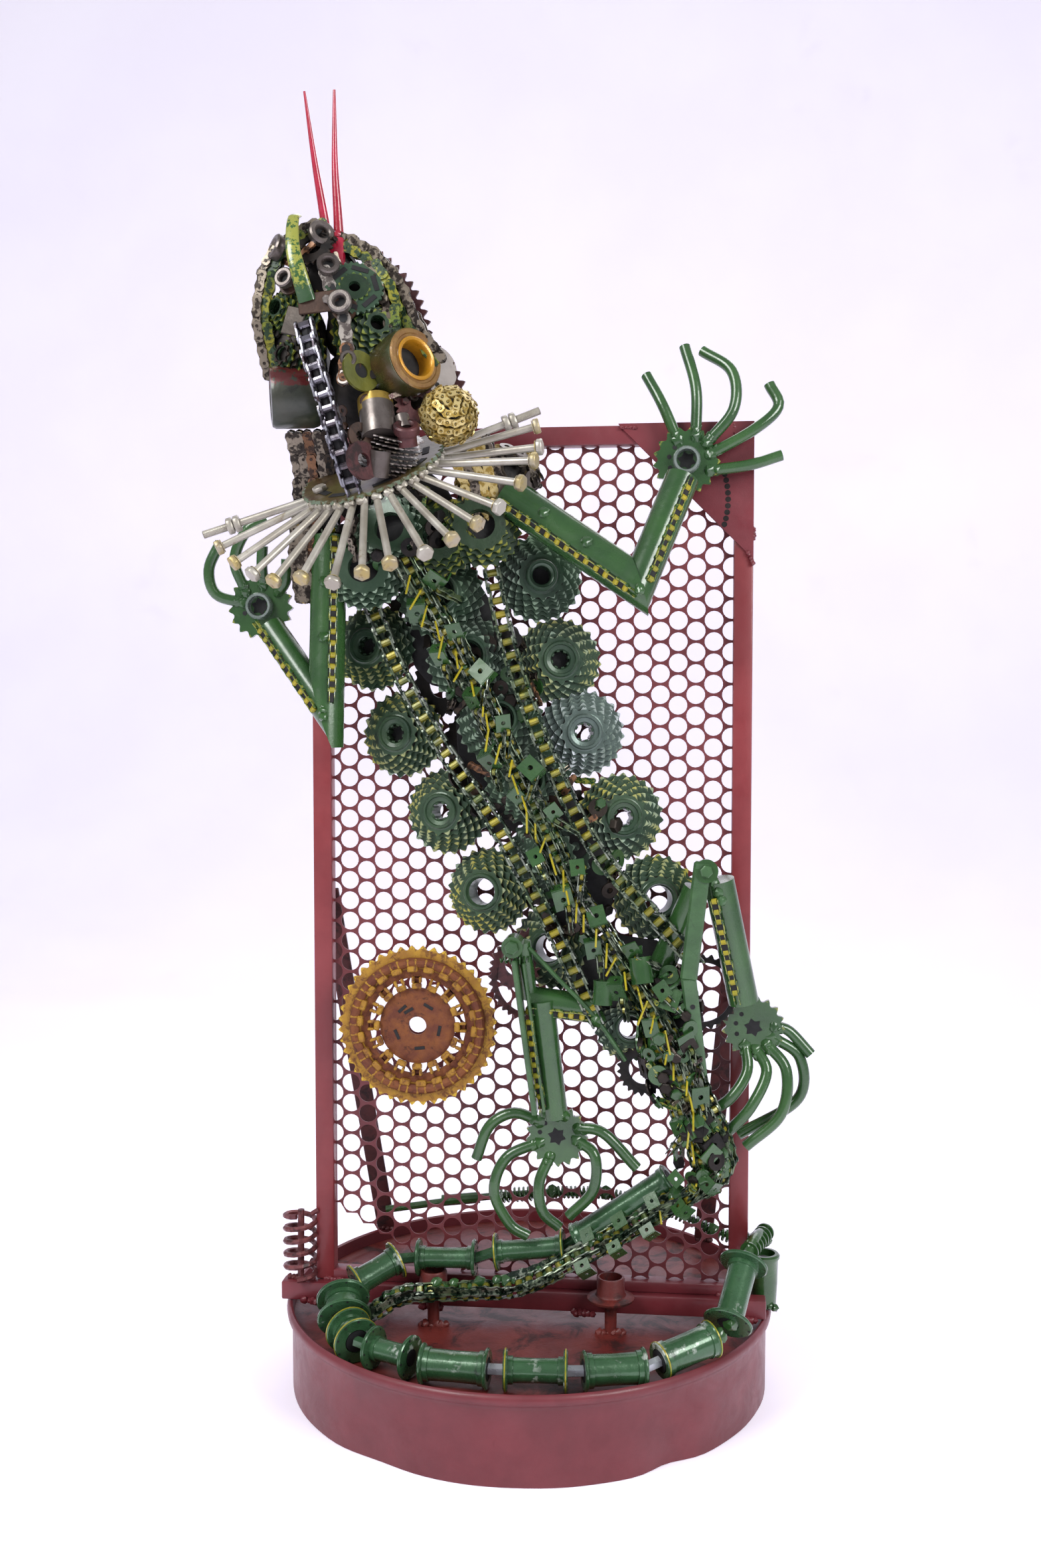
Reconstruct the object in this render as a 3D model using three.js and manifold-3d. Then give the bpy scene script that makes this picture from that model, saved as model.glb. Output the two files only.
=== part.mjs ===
// Scrap metal lizard climbing a punched steel panel, on a base cut from a steel drum.
// Millimetres, +Z up. The lizard's back faces -Y; +X is to the right as its back is seen.
// Everything is laid out about the drum's axis, and the whole is then centred on its own box.

import * as THREE from "three";
import { mergeVertices } from "three/addons/utils/BufferGeometryUtils.js";
import Module from "manifold-3d";

const wasm = await Module();
wasm.setup();

// ---- driving dimensions ----------------------------------------------------------------------

const GAP = 0.3; // clearance kept between neighbouring pieces
const OFF_CENTRE = [14, 6]; // moves the middle of the whole over the origin

// base, from a 200 litre drum cut off just under its head
const DRUM_HEIGHT = 100;
const CHIME_RADIUS = 292.5;
const WALL_RADIUS = 286;
const WALL_THICKNESS = 1.5;
const HEAD_TOP = 84;
const HEAD_THICKNESS = 1.5;
const DRUM_SIDES = 32;

// frame of square tube with a punched sheet in it
const TUBE = 22;
const FRAME_LEFT = -251;
const FRAME_RIGHT = 262;
const FRAME_TOP = 1130;
const FRAME_FRONT = -58;
const CROSSBAR_LEFT = -291;
const CROSSBAR_RIGHT = 283;
const CROSSBAR_FRONT = -70;
const BOTTOM_RAIL_HEIGHT = 12;
const PANEL_THICKNESS = 1.5;
const GUSSET_LEG = 152;
const GUSSET_THICKNESS = 2;
const BRACE_WIDTH = 24;
const BRACE_THICKNESS = 5;
const BRACE_TOP = 590;
const BRACE_FOOT = [214, 184]; // X and Y where a brace stands on the drum's rim

// base fittings
const SPRING_RADIUS = 18;
const SPRING_WIRE = 3.3;
const SPRING_TURNS = 5;
const SPRING_HEIGHT = 85;
const CUP_SPACING = 208;
const CUP_RADIUS = 16;
const CUP_FLANGE = 27;

// bicycle and motorcycle parts: radii, but for the counts of teeth and of steps in a bent rod
const COG = 49; // largest cog of a freewheel
const FREEWHEEL_DEPTH = 33;
const FREEWHEEL_BORE = 11;
const SIDE_CHAIN = 10;
const SPINE_CHAIN = 11;
const CHAINRING = 93;
const CHAINRING_TEETH = 44;
const ARM_TUBE = 20;
const LEG_TUBE = 17;
const FINGER = 5.5;
const DIGIT_STEPS = 5;
const HAND_SPROCKET = 35;
const FOOT_SPROCKET = 33;
const HUB_BARREL = 12;
const HUB_FLANGE = 21;
const AXLE = 5;

// neck collar and its fan of bolts
const COLLAR = 78;
const BOLTS = 18;
const BOLT_LENGTH = 104;
const BOLT_SHANK = 3.5;
const BOLT_HEAD = 8.5;
const BOLT_DROP = 0.45; // how far the bolts at the front dip below the collar's plane, radians

// ---- vectors and solids ----------------------------------------------------------------------

const v = (x, y, z) => new THREE.Vector3(x, y, z);
const FRONT = v(0, -1, 0);
const UP = v(0, 0, 1);

const signedVolume = (positions, corners) => {
  const [a, b, c] = [v(), v(), v()];
  let total = 0;
  for (let i = 0; i < corners.length; i += 3) {
    a.fromArray(positions, 3 * corners[i]);
    b.fromArray(positions, 3 * corners[i + 1]);
    c.fromArray(positions, 3 * corners[i + 2]);
    total += a.dot(b.cross(c)) / 6;
  }
  return total;
};

// merging corners leaves triangles without area, as at a turned shape's poles, and they go
const toSolid = (geometry) => {
  const bare = geometry.clone();
  bare.deleteAttribute("normal");
  bare.deleteAttribute("uv");
  const merged = mergeVertices(bare, 1e-3);
  const corners = [];
  for (let i = 0; i < merged.index.count; i += 3) {
    const [a, b, c] = [0, 1, 2].map((k) => merged.index.getX(i + k));
    if (a !== b && b !== c && a !== c) corners.push(a, b, c);
  }
  const vertProperties = merged.attributes.position.array;
  if (signedVolume(vertProperties, corners) < 0) corners.reverse();
  const triVerts = new Uint32Array(corners);
  return new wasm.Manifold(new wasm.Mesh({ numProp: 3, vertProperties, triVerts }));
};

const toGeometry = (solid) => {
  const mesh = solid.getMesh();
  const geometry = new THREE.BufferGeometry();
  geometry.setAttribute("position", new THREE.BufferAttribute(mesh.vertProperties, 3));
  geometry.setIndex(new THREE.BufferAttribute(mesh.triVerts, 1));
  geometry.computeVertexNormals();
  return geometry;
};

const join = (solids) => solids.reduce((whole, piece) => whole.add(piece));

// ---- shapes; `g` is how much larger than life each one is made on every side -----------------

// a turned shape: its profile is (radius, height) pairs, and heights run from `at` along `axis`
const turned = (profile, at, axis, sides = 12) => {
  const points = profile.map(([radius, height]) => new THREE.Vector2(radius, height));
  const geometry = new THREE.LatheGeometry(points, sides);
  geometry.applyQuaternion(new THREE.Quaternion().setFromUnitVectors(v(0, 1, 0), axis.clone().normalize()));
  geometry.translate(at.x, at.y, at.z);
  return toSolid(geometry);
};

const disc = (g, radius, thickness, at, axis, sides = 12) => {
  const profile = [[0, -g], [radius + g, -g], [radius + g, thickness + g], [0, thickness + g]];
  return turned(profile, at, axis, sides);
};

const ball = (g, radii, at, sides = 9) => {
  const geometry = new THREE.SphereGeometry(1, sides, Math.round(sides / 2));
  geometry.rotateX(Math.PI / 2);
  geometry.scale(radii[0] + g, radii[1] + g, radii[2] + g);
  geometry.translate(at.x, at.y, at.z);
  return toSolid(geometry);
};

const polygon = (radius, sides) => {
  const corner = (i) => (2 * Math.PI * (i + 0.5)) / sides;
  const at = (i) => new THREE.Vector2(radius * Math.cos(corner(i)), radius * Math.sin(corner(i)));
  return new THREE.Shape(Array.from({ length: sides }, (_, i) => at(i)));
};

// a rod or tube on a smooth route through the points, made `g` longer at both ends
const rod = (g, radius, route, sides = 8, perSpan = 2) => {
  const points = route.map((point) => point.clone());
  const last = points.length - 1;
  if (g > 0) {
    points[0].add(route[0].clone().sub(route[1]).setLength(g));
    points[last].add(route[last].clone().sub(route[last - 1]).setLength(g));
  }
  const straight = last === 1;
  const extrudePath = straight ? new THREE.LineCurve3(...points) : new THREE.CatmullRomCurve3(points);
  const steps = straight ? 1 : perSpan * last;
  return toSolid(new THREE.ExtrudeGeometry(polygon(radius + g, sides), { steps, extrudePath }));
};

const box = (g, low, high) => {
  const size = high.clone().sub(low).addScalar(2 * g);
  const middle = high.clone().add(low).multiplyScalar(0.5);
  return toSolid(new THREE.BoxGeometry(...size).translate(...middle));
};

// a flat bar between two points, its broad side turned towards `facing`
const flatBar = (g, from, to, width, thickness, facing = FRONT) => {
  const along = to.clone().sub(from);
  const length = along.length();
  const side = along.clone().cross(facing).normalize();
  const face = along.clone().cross(side).normalize();
  const geometry = new THREE.BoxGeometry(width + 2 * g, thickness + 2 * g, length + 2 * g);
  const basis = new THREE.Matrix4().makeBasis(side, face, along.normalize());
  basis.setPosition(from.clone().add(to).multiplyScalar(0.5));
  return toSolid(geometry.applyMatrix4(basis));
};

const wound = (points, clockwise) => {
  const wrongWay = THREE.ShapeUtils.isClockWise(points) !== clockwise;
  return wrongWay ? points.reverse() : points;
};

// a sheet cut to an outline in the XZ plane; its back is at `back` and its front nearer -Y
const sheet = (g, shape, back, thickness) => {
  const cut = shape.extractPoints(1);
  const outline = new THREE.Shape(wound(cut.shape, false));
  outline.holes = cut.holes.map((hole) => new THREE.Path(wound(hole, true)));
  const geometry = new THREE.ExtrudeGeometry(outline, { depth: thickness + 2 * g, bevelEnabled: false });
  const basis = new THREE.Matrix4().makeBasis(v(1, 0, 0), v(0, 0, 1), v(0, -1, 0));
  return toSolid(geometry.applyMatrix4(basis.setPosition(0, back + g, 0)));
};

// ---- base ------------------------------------------------------------------------------------

const drumWall = (g) => {
  const inner = WALL_RADIUS - WALL_THICKNESS - g;
  const outer = WALL_RADIUS + g;
  const top = DRUM_HEIGHT + g;
  const rim = CHIME_RADIUS + g;
  const profile = [[inner, -g], [outer, -g], [outer, HEAD_TOP], [rim, HEAD_TOP + 8], [rim, top - 3],
    [rim - 3, top], [inner, top], [inner, -g]];
  return turned(profile, v(0, 0, 0), UP, DRUM_SIDES);
};

const drumHead = (g) => {
  const radius = WALL_RADIUS - WALL_THICKNESS - GAP;
  return disc(g, radius, HEAD_THICKNESS, v(0, 0, HEAD_TOP - HEAD_THICKNESS), UP, DRUM_SIDES);
};

const CROSSBAR_TOP = DRUM_HEIGHT + GAP + TUBE;

const crossbar = (g) => {
  const low = v(CROSSBAR_LEFT, CROSSBAR_FRONT, DRUM_HEIGHT + GAP);
  return box(g, low, v(CROSSBAR_RIGHT, CROSSBAR_FRONT + TUBE, CROSSBAR_TOP));
};

const coilSpring = (g) => {
  const axis = v(CROSSBAR_LEFT + SPRING_RADIUS + SPRING_WIRE, CROSSBAR_FRONT + TUBE / 2, CROSSBAR_TOP + GAP);
  const pointsPerTurn = 6;
  const count = SPRING_TURNS * pointsPerTurn;
  const route = Array.from({ length: count + 1 }, (_, i) => {
    const angle = (2 * Math.PI * i) / pointsPerTurn;
    const height = SPRING_WIRE + ((SPRING_HEIGHT - 2 * SPRING_WIRE) * i) / count;
    return axis.clone().add(v(SPRING_RADIUS * Math.cos(angle), SPRING_RADIUS * Math.sin(angle), height));
  });
  const coil = rod(g, SPRING_WIRE, route, 4, 1);
  const stake = rod(g, SPRING_WIRE + 1, [axis, axis.clone().add(v(0, 0, SPRING_HEIGHT + 2))], 6);
  const tie = (end) => rod(g, SPRING_WIRE - 0.5, [end, v(axis.x, axis.y, end.z)], 5);
  return join([coil, stake, tie(route[0]), tie(route[count])]);
};

const headsetCup = (side) => (g) => {
  const inner = CUP_RADIUS - 3 - g;
  const profile = [[0, -g], [7 + g, -g], [7 + g, 34], [CUP_FLANGE + g, 39.5 - g], [CUP_FLANGE + g, 43 + g],
    [CUP_RADIUS + g, 46 + g], [CUP_RADIUS + g, 66 + g], [inner, 66 + g], [inner, 50 + g], [0, 50 + g]];
  return turned(profile, v((side * CUP_SPACING) / 2, CROSSBAR_FRONT - 15, HEAD_TOP + GAP), UP, 9);
};

// ---- frame -----------------------------------------------------------------------------------

const post = (left) => (g) => {
  const low = v(left, FRAME_FRONT, CROSSBAR_TOP + GAP);
  return box(g, low, v(left + TUBE, FRAME_FRONT + TUBE, FRAME_TOP));
};

const rail = (bottom, height) => (g) => {
  const low = v(FRAME_LEFT + TUBE + GAP, FRAME_FRONT, bottom);
  return box(g, low, v(FRAME_RIGHT - TUBE - GAP, FRAME_FRONT + TUBE, bottom + height));
};

const punchedPanel = (g) => {
  const back = FRAME_FRONT + TUBE / 2 + PANEL_THICKNESS / 2;
  const low = v(FRAME_LEFT + TUBE + GAP, back - PANEL_THICKNESS, CROSSBAR_TOP + BOTTOM_RAIL_HEIGHT + 2 * GAP);
  return box(g, low, v(FRAME_RIGHT - TUBE - GAP, back, FRAME_TOP - TUBE - GAP));
};

// corner plate on the front of the frame, with a slot beside the post
const gusset = (g) => {
  const inward = (reach) => FRAME_RIGHT - reach;
  const shape = new THREE.Shape();
  shape.moveTo(inward(-g), FRAME_TOP + g);
  shape.lineTo(inward(GUSSET_LEG), FRAME_TOP + g);
  shape.lineTo(inward(-g), FRAME_TOP - GUSSET_LEG);
  const slot = new THREE.Path();
  slot.moveTo(inward(31), FRAME_TOP - 62);
  slot.lineTo(inward(39), FRAME_TOP - 62);
  slot.lineTo(inward(39), FRAME_TOP - 92);
  slot.lineTo(inward(31), FRAME_TOP - 92);
  shape.holes.push(slot);
  return sheet(g, shape, FRAME_FRONT - GAP, GUSSET_THICKNESS);
};

const backBrace = (side) => (g) => {
  const edge = side > 0 ? FRAME_RIGHT : FRAME_LEFT;
  const top = v(edge - (side * TUBE) / 2, FRAME_FRONT + TUBE + 8, BRACE_TOP);
  const foot = v(side * BRACE_FOOT[0], BRACE_FOOT[1], DRUM_HEIGHT + 4);
  return flatBar(g, top, foot, BRACE_WIDTH, BRACE_THICKNESS, v(0, -1, 0));
};

// ---- trunk -----------------------------------------------------------------------------------

// a freewheel: a cone of cogs on a body with an open bore; `face` is the middle of its small end
const freewheel = (face, axis) => (g) => {
  const out = axis.clone().normalize();
  const back = face.clone().addScaledVector(out, -FREEWHEEL_DEPTH);
  const bore = FREEWHEEL_BORE - g;
  const profile = [[bore, -g], [COG + g, -g], [COG + g, 8 + g], [30 + g, 25 + g], [20 + g, 25 + g],
    [20 + g, FREEWHEEL_DEPTH + g], [bore, FREEWHEEL_DEPTH + g], [bore, -g]];
  return turned(profile, back, out, 9);
};

// X and Z of the middle of each one's small end, from the neck down
const facesAt = (y, places) => places.map(([x, z]) => v(x, y, z));
const RIGHT_ROW = facesAt(-102, [[25, 957], [47, 863], [74, 781], [119, 685], [159, 592]]);
const LEFT_ROW = facesAt(-102, [[-179, 879], [-146, 779], [-94, 690], [-46, 598], [31, 534]]);
const MIDDLE_ROW = facesAt(-116, [[-92, 935], [-59, 863], [-24, 792], [8, 724], [35, 640]]);

// the middle row's freewheels are welded edge to edge, and stand on the cogs beside them
const middleFreewheels = (g) => {
  const bodies = MIDDLE_ROW.map((face) => {
    const depth = FREEWHEEL_DEPTH + g;
    const profile = [[0, -g], [COG + g, -g], [COG + g, 10 + g], [20 + g, depth], [0, depth]];
    return turned(profile, face.clone().addScaledVector(FRONT, -FREEWHEEL_DEPTH), FRONT, 9);
  });
  return join(bodies);
};

const RIGHT_SIDE = [v(-41, -118, 1020), v(-16, -118, 897), v(13, -118, 806), v(50, -118, 718),
  v(90, -118, 647), v(150, -118, 578), v(190, -118, 535)];
const LEFT_SIDE = [v(-203, -118, 985), v(-175, -118, 942), v(-140, -118, 859), v(-101, -118, 787),
  v(-67, -118, 736), v(-27, -118, 679), v(15, -118, 605), v(55, -118, 527), v(89, -118, 455)];

const sideChain = (route) => (g) => rod(g, SIDE_CHAIN, route, 6, 1);

const SPINE = [v(-122, -150, 970), v(-90, -142, 912), v(-53, -138, 844), v(22, -135, 691), v(59, -135, 611),
  v(105, -135, 541), v(157, -132, 461), v(191, -124, 385), v(198, -120, 335), v(220, -108, 292)];

// the spine chain carries pairs of angle brackets, and ends in the lump it is welded up in
const spineChain = (g) => {
  const curve = new THREE.CatmullRomCurve3(SPINE);
  const chain = rod(g, SPINE_CHAIN, SPINE, 6, 1);
  const pairs = 6;
  const brackets = Array.from({ length: pairs }, (_, i) => {
    const t = (i + 0.6) / (pairs + 0.6);
    const middle = curve.getPointAt(t).add(v(0, -6, 0));
    const across = curve.getTangentAt(t).cross(FRONT).normalize();
    const reach = (length) => middle.clone().addScaledVector(across, length);
    return flatBar(g, reach(-27), reach(27), 22, 4);
  });
  const lump = ball(g, [24, 14, 22], SPINE.at(-1), 8);
  return join([chain, ...brackets, lump]);
};

// ---- chainrings ------------------------------------------------------------------------------

const toothedOutline = (centre, tip, root, teeth) => {
  const corner = (i) => {
    const radius = i % 2 ? tip : root;
    const angle = (Math.PI * i) / teeth;
    return new THREE.Vector2(centre.x + radius * Math.cos(angle), centre.z + radius * Math.sin(angle));
  };
  return new THREE.Shape(Array.from({ length: 2 * teeth }, (_, i) => corner(i)));
};

const circlePath = (x, z, radius, sides) => {
  const angle = (i) => (-2 * Math.PI * i) / sides;
  const at = (i) => new THREE.Vector2(x + radius * Math.cos(angle(i)), z + radius * Math.sin(angle(i)));
  return new THREE.Path(Array.from({ length: sides }, (_, i) => at(i)));
};

const RING_CENTRE = v(-119, -98, 442);

// a chainring with the ridge of a smaller toothed ring welded to its face
const yellowChainring = (g) => {
  const outline = toothedOutline(RING_CENTRE, CHAINRING + g, CHAINRING - 6 + g, CHAINRING_TEETH);
  outline.holes.push(circlePath(RING_CENTRE.x, RING_CENTRE.z, 10 - g, 10));
  const plate = sheet(g, outline, RING_CENTRE.y, 4);
  const ridge = [[66 - g, -g], [77 + g, -g], [77 + g, 5 + g], [66 - g, 5 + g], [66 - g, -g]];
  return join([plate, turned(ridge, RING_CENTRE.clone().add(v(0, -4 + g, 0)), FRONT, 14)]);
};

const smallChainring = (g) => {
  const centre = v(-6, -92, 513);
  return sheet(g, toothedOutline(centre, 30 + g, 25 + g, 18), centre.y, 4);
};

// ---- head and neck ---------------------------------------------------------------------------

const COLLAR_CENTRE = v(-153, -170, 1065);
const COLLAR_AXIS = v(-0.26, -0.47, 0.84).normalize();
const COLLAR_SIDE = v(0.912, 0.134, 0.361).projectOnPlane(COLLAR_AXIS).normalize();
const COLLAR_FORE = COLLAR_SIDE.clone().cross(COLLAR_AXIS);

const collarPoint = (angle, radius, lift = 0) => COLLAR_CENTRE.clone()
  .addScaledVector(COLLAR_SIDE, radius * Math.cos(angle))
  .addScaledVector(COLLAR_FORE, radius * Math.sin(angle))
  .addScaledVector(COLLAR_AXIS, lift);

// a chainring round the neck, with bolts welded to its front half like the ribs of a fan
const boltCollar = (g) => {
  const plate = disc(g, COLLAR, 8, COLLAR_CENTRE.clone().addScaledVector(COLLAR_AXIS, -4), COLLAR_AXIS, 18);
  const bolts = Array.from({ length: BOLTS }, (_, i) => {
    const angle = Math.PI * (1 - i / (BOLTS - 1));
    const drop = BOLT_DROP * Math.sin(angle);
    const root = collarPoint(angle, COLLAR - 1);
    const tip = collarPoint(angle, COLLAR + BOLT_LENGTH * Math.cos(drop), -BOLT_LENGTH * Math.sin(drop));
    const along = tip.clone().sub(root).normalize();
    const head = disc(g, BOLT_HEAD, 6, tip.clone().addScaledVector(along, -6), along, 6);
    return join([rod(g, BOLT_SHANK, [root, tip.addScaledVector(along, -3)], 4), head]);
  });
  return join([plate, ...bolts]);
};

const SKULL = v(-142, -186, 1160);
const SNOUT_TIP = v(-206, -212, 1292);

const skull = (g) => {
  const brain = ball(g, [62, 38, 66], SKULL);
  const crest = ball(g, [44, 30, 52], v(-142, -206, 1212));
  const cheek = ball(g, [32, 32, 32], v(-59, -200, 1114));
  return join([brain, crest, cheek]);
};

const snout = (g) => {
  const from = v(-168, -200, 1222);
  const axis = SNOUT_TIP.clone().sub(from);
  const length = axis.length();
  const profile = [[0, -g], [44 + g, -g], [40 + g, 0.35 * length], [33 + g, 0.8 * length],
    [24 + g, length + g], [0, length + g]];
  const jaw = turned(profile, from, axis, 12);
  const nostril = (at) => disc(g, 10, 26, at, v(-0.15, -0.85, 0.5), 6);
  const lever = rod(g, 7, [v(-212, -226, 1228), v(-224, -242, 1272), v(-230, -222, 1326)], 6);
  return join([jaw, nostril(v(-232, -212, 1282)), nostril(v(-186, -208, 1264)), lever]);
};

const tongue = (g) => {
  const stem = rod(g, 8, [v(-192, -206, 1296), v(-188, -206, 1318)], 6);
  const fork = (route) => rod(g, 4.5, route, 5);
  const left = fork([v(-190, -206, 1308), v(-195, -217, 1375), v(-212, -228, 1449)]);
  const right = fork([v(-187, -205, 1308), v(-186, -211, 1375), v(-183, -216, 1455)]);
  return join([stem, left, right]);
};

// rubber-bush housings: an open ring on a solid back
const bushEye = (g, back, axis, radius, bore, length) => {
  const open = bore - g;
  const profile = [[0, -g], [0.8 * radius + g, -g], [radius + g, 0.3 * length], [radius + g, length + g],
    [open, length + g], [open, 0.5 * length + g], [0, 0.5 * length + g]];
  return turned(profile, back, axis, 11);
};

const rightEye = (g) => bushEye(g, v(-142, -196, 1163), v(0.85, -0.5, 0.16), 34, 17, 54);
const leftEye = (g) => bushEye(g, v(-206, -186, 1143), v(-0.95, -0.28, -0.05), 31, 15, 56);

const headChain = (g) => {
  const route = [v(-207, -245, 1205), v(-200, -252, 1170), v(-191, -254, 1135), v(-178, -250, 1079)];
  return rod(g, SPINE_CHAIN, route, 6, 2);
};
const rightJawChain = (g) => {
  const route = [v(-172, -200, 1306), v(-128, -203, 1258), v(-85, -205, 1203), v(-41, -205, 1142)];
  return rod(g, 9, route, 6, 2);
};

const rightNeck = (g) => rod(g, 20, [v(-66, -116, 996), v(-56, -140, 1040), v(-54, -166, 1090)], 8, 2);
const nape = (g) => rod(g, 34, [v(-122, -118, 985), v(-150, -160, 1050)], 10);

// ---- arms and legs ---------------------------------------------------------------------------

const RIGHT_ELBOW = v(134, -150, 940);
const RIGHT_HAND = v(186, -82, 1085);
const LEFT_ELBOW = v(-217, -145, 771);
const LEFT_HAND = v(-299, -106, 924);
const RIGHT_KNEE = v(206, -128, 625);
const RIGHT_FOOT = v(265, -84, 445);
const LEFT_KNEE = v(4, -130, 540);
const LEFT_FOOT = v(42, -96, 316);

// a small sprocket with the rods that are bent into its fingers or toes
const grip = (centre, radius, digits) => (g) => {
  const plate = disc(g, radius, 7, centre.clone().add(v(0, 7, 0)), FRONT, 12);
  const nut = disc(g, 0.42 * radius, 12, centre.clone().add(v(0, 3, 0)), FRONT, 6);
  const bent = digits.map((route) => rod(g, FINGER, route, 4, DIGIT_STEPS / (route.length - 1)));
  return join([plate, nut, ...bent]);
};

const rightHand = grip(RIGHT_HAND, HAND_SPROCKET, [
  [v(176, -78, 1108), v(158, -74, 1150), v(140, -60, 1185)],
  [v(196, -78, 1112), v(196, -76, 1165), v(183, -60, 1216)],
  [v(208, -80, 1104), v(238, -78, 1142), v(236, -66, 1186), v(203, -50, 1213)],
  [v(212, -78, 1092), v(262, -74, 1120), v(288, -66, 1146), v(278, -60, 1172)],
  [v(212, -78, 1074), v(256, -74, 1080), v(292, -70, 1091)],
]);

const leftHand = grip(LEFT_HAND, HAND_SPROCKET, [
  [v(-318, -102, 928), v(-350, -108, 938), v(-357, -112, 966), v(-343, -112, 997)],
  [v(-316, -102, 940), v(-328, -108, 976), v(-312, -112, 1010), v(-288, -112, 1023)],
  [v(-296, -102, 948), v(-296, -108, 970), v(-294, -112, 992)],
  [v(-278, -102, 940), v(-268, -108, 954), v(-266, -112, 977)],
]);

const rightFoot = grip(RIGHT_FOOT, FOOT_SPROCKET, [
  [v(256, -80, 424), v(258, -92, 396), v(240, -100, 368), v(217, -95, 350)],
  [v(268, -80, 420), v(280, -92, 396), v(262, -102, 358), v(236, -98, 327)],
  [v(280, -80, 426), v(302, -90, 398), v(296, -98, 350), v(257, -95, 311)],
  [v(286, -78, 434), v(318, -76, 410), v(316, -76, 362), v(249, -80, 320)],
  [v(288, -78, 446), v(306, -76, 440), v(330, -80, 415)],
]);

const leftFoot = grip(LEFT_FOOT, FOOT_SPROCKET, [
  [v(22, -92, 332), v(-8, -96, 342), v(-36, -98, 326), v(-51, -98, 288)],
  [v(22, -92, 308), v(-16, -98, 290), v(-30, -102, 252), v(-12, -102, 214), v(9, -100, 200)],
  [v(34, -92, 292), v(22, -100, 262), v(26, -102, 230), v(45, -98, 211)],
  [v(64, -92, 312), v(86, -100, 296), v(84, -102, 256), v(56, -98, 224)],
  [v(66, -92, 326), v(96, -98, 322), v(134, -98, 283)],
]);

const rightUpperArm = (g) => rod(g, ARM_TUBE, [v(-13, -125, 1044), RIGHT_ELBOW]);
const rightForearm = (g) => rod(g, ARM_TUBE - 2, [v(137, -150, 951), v(181, -104, 1058)]);
const leftUpperArm = (g) => rod(g, ARM_TUBE, [v(-214, -122, 1000), LEFT_ELBOW]);
const leftForearm = (g) => rod(g, ARM_TUBE - 5, [v(-226, -146, 784), v(-283, -116, 894)]);

const rightThigh = (g) => rod(g, LEG_TUBE, [v(150, -92, 490), v(178, -95, 552), v(200, -112, 612)], 8, 2);

const rightShin = (g) => {
  const tube = rod(g, LEG_TUBE, [v(222, -126, 610), v(253, -102, 482)]);
  const crank = flatBar(g, v(204, -146, 632), v(196, -134, 478), 17, 6);
  const bolt = disc(g, 13, 40, v(210, -112, 625), FRONT, 6);
  return join([tube, crank, bolt]);
};

const leftThigh = (g) => {
  const tube = rod(g, LEG_TUBE, [v(10, -112, 476), v(84, -104, 466)]);
  const clevis = rod(g, 13, [v(6, -128, 546), v(10, -120, 508), v(12, -114, 480)], 8, 2);
  return join([tube, clevis]);
};

const leftShin = (g) => {
  const channel = flatBar(g, v(2, -144, 520), v(24, -126, 350), 22, 8);
  const tube = rod(g, 14, [v(26, -124, 450), v(42, -108, 348)]);
  return join([channel, tube]);
};

// ---- tail ------------------------------------------------------------------------------------

// a wheel hub between two points: a waisted barrel with a flange near each end
const hub = (g, from, to, flange = HUB_FLANGE, barrel = HUB_BARREL) => {
  const axis = to.clone().sub(from);
  const length = axis.length();
  const near = 0.14 * length;
  const far = 0.86 * length;
  const profile = [[0, -g], [barrel + 3 + g, -g], [flange + g, near], [barrel + g, near + 4],
    [barrel + g, far - 4], [flange + g, far], [barrel + 3 + g, length + g], [0, length + g]];
  return turned(profile, from, axis, 7);
};

// hubs in a row, strung on axle stubs
const hubRun = (g, hubs) => {
  const bodies = hubs.map(([from, to, flange, barrel]) => hub(g, from, to, flange, barrel));
  const stubs = hubs.slice(1).map(([start], i) => {
    const end = hubs[i][1];
    const step = start.clone().sub(end).setLength(8);
    return rod(g, AXLE, [end.clone().sub(step), start.clone().add(step)], 4);
  });
  return join([...bodies, ...stubs]);
};

const tailOverCrossbar = (g) => hubRun(g, [
  [v(172, -84, 268), v(64, -80, 192), 18, 15],
  [v(50, -80, 182), v(-32, -80, 172)],
  [v(-54, -80, 164), v(-124, -80, 162)],
  [v(-146, -88, 162), v(-190, -118, 142), 22, 15],
]);

const tailTurn = (g) => hubRun(g, [
  [v(-200, -138, 134), v(-192, -166, 120), 30, 22],
  [v(-186, -176, 114), v(-170, -200, 110), 24, 20],
  [v(-152, -206, 107), v(-104, -228, 107), 22, 12],
]);

const tailFront = (g) => hubRun(g, [
  [v(-84, -240, 106), v(-20, -244, 106), 20, 16],
  [v(2, -244, 106), v(64, -240, 106)],
  [v(84, -236, 106), v(146, -222, 106), 20, 14],
  [v(164, -208, 108), v(216, -174, 120), 22, 17],
]);

const tailRise = (g) => {
  const body = hub(g, v(240, -160, 140), v(256, -104, 178), 24, 14);
  const link = rod(g, 6, [v(256, -106, 176), v(266, -82, 192), v(276, -52, 194), v(284, -26, 182)], 6);
  return join([body, link]);
};

const tailCup = (g) => {
  const profile = [[0, -g], [15 + g, -g], [17 + g, 60 + g], [13 - g, 60 + g], [13 - g, 40 + g], [0, 40 + g]];
  return turned(profile, v(282, -24, DRUM_HEIGHT + GAP), UP, 10);
};

// chain that lies along the hubs
const TAIL_CHAIN = [v(175, -108, 250), v(143, -104, 228), v(106, -104, 203), v(68, -104, 182),
  v(28, -104, 158), v(-8, -106, 144), v(-52, -108, 140), v(-97, -112, 138), v(-134, -120, 136), v(-160, -134, 124)];
const tailChain = (g) => rod(g, 8, TAIL_CHAIN, 6, 1);

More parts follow.
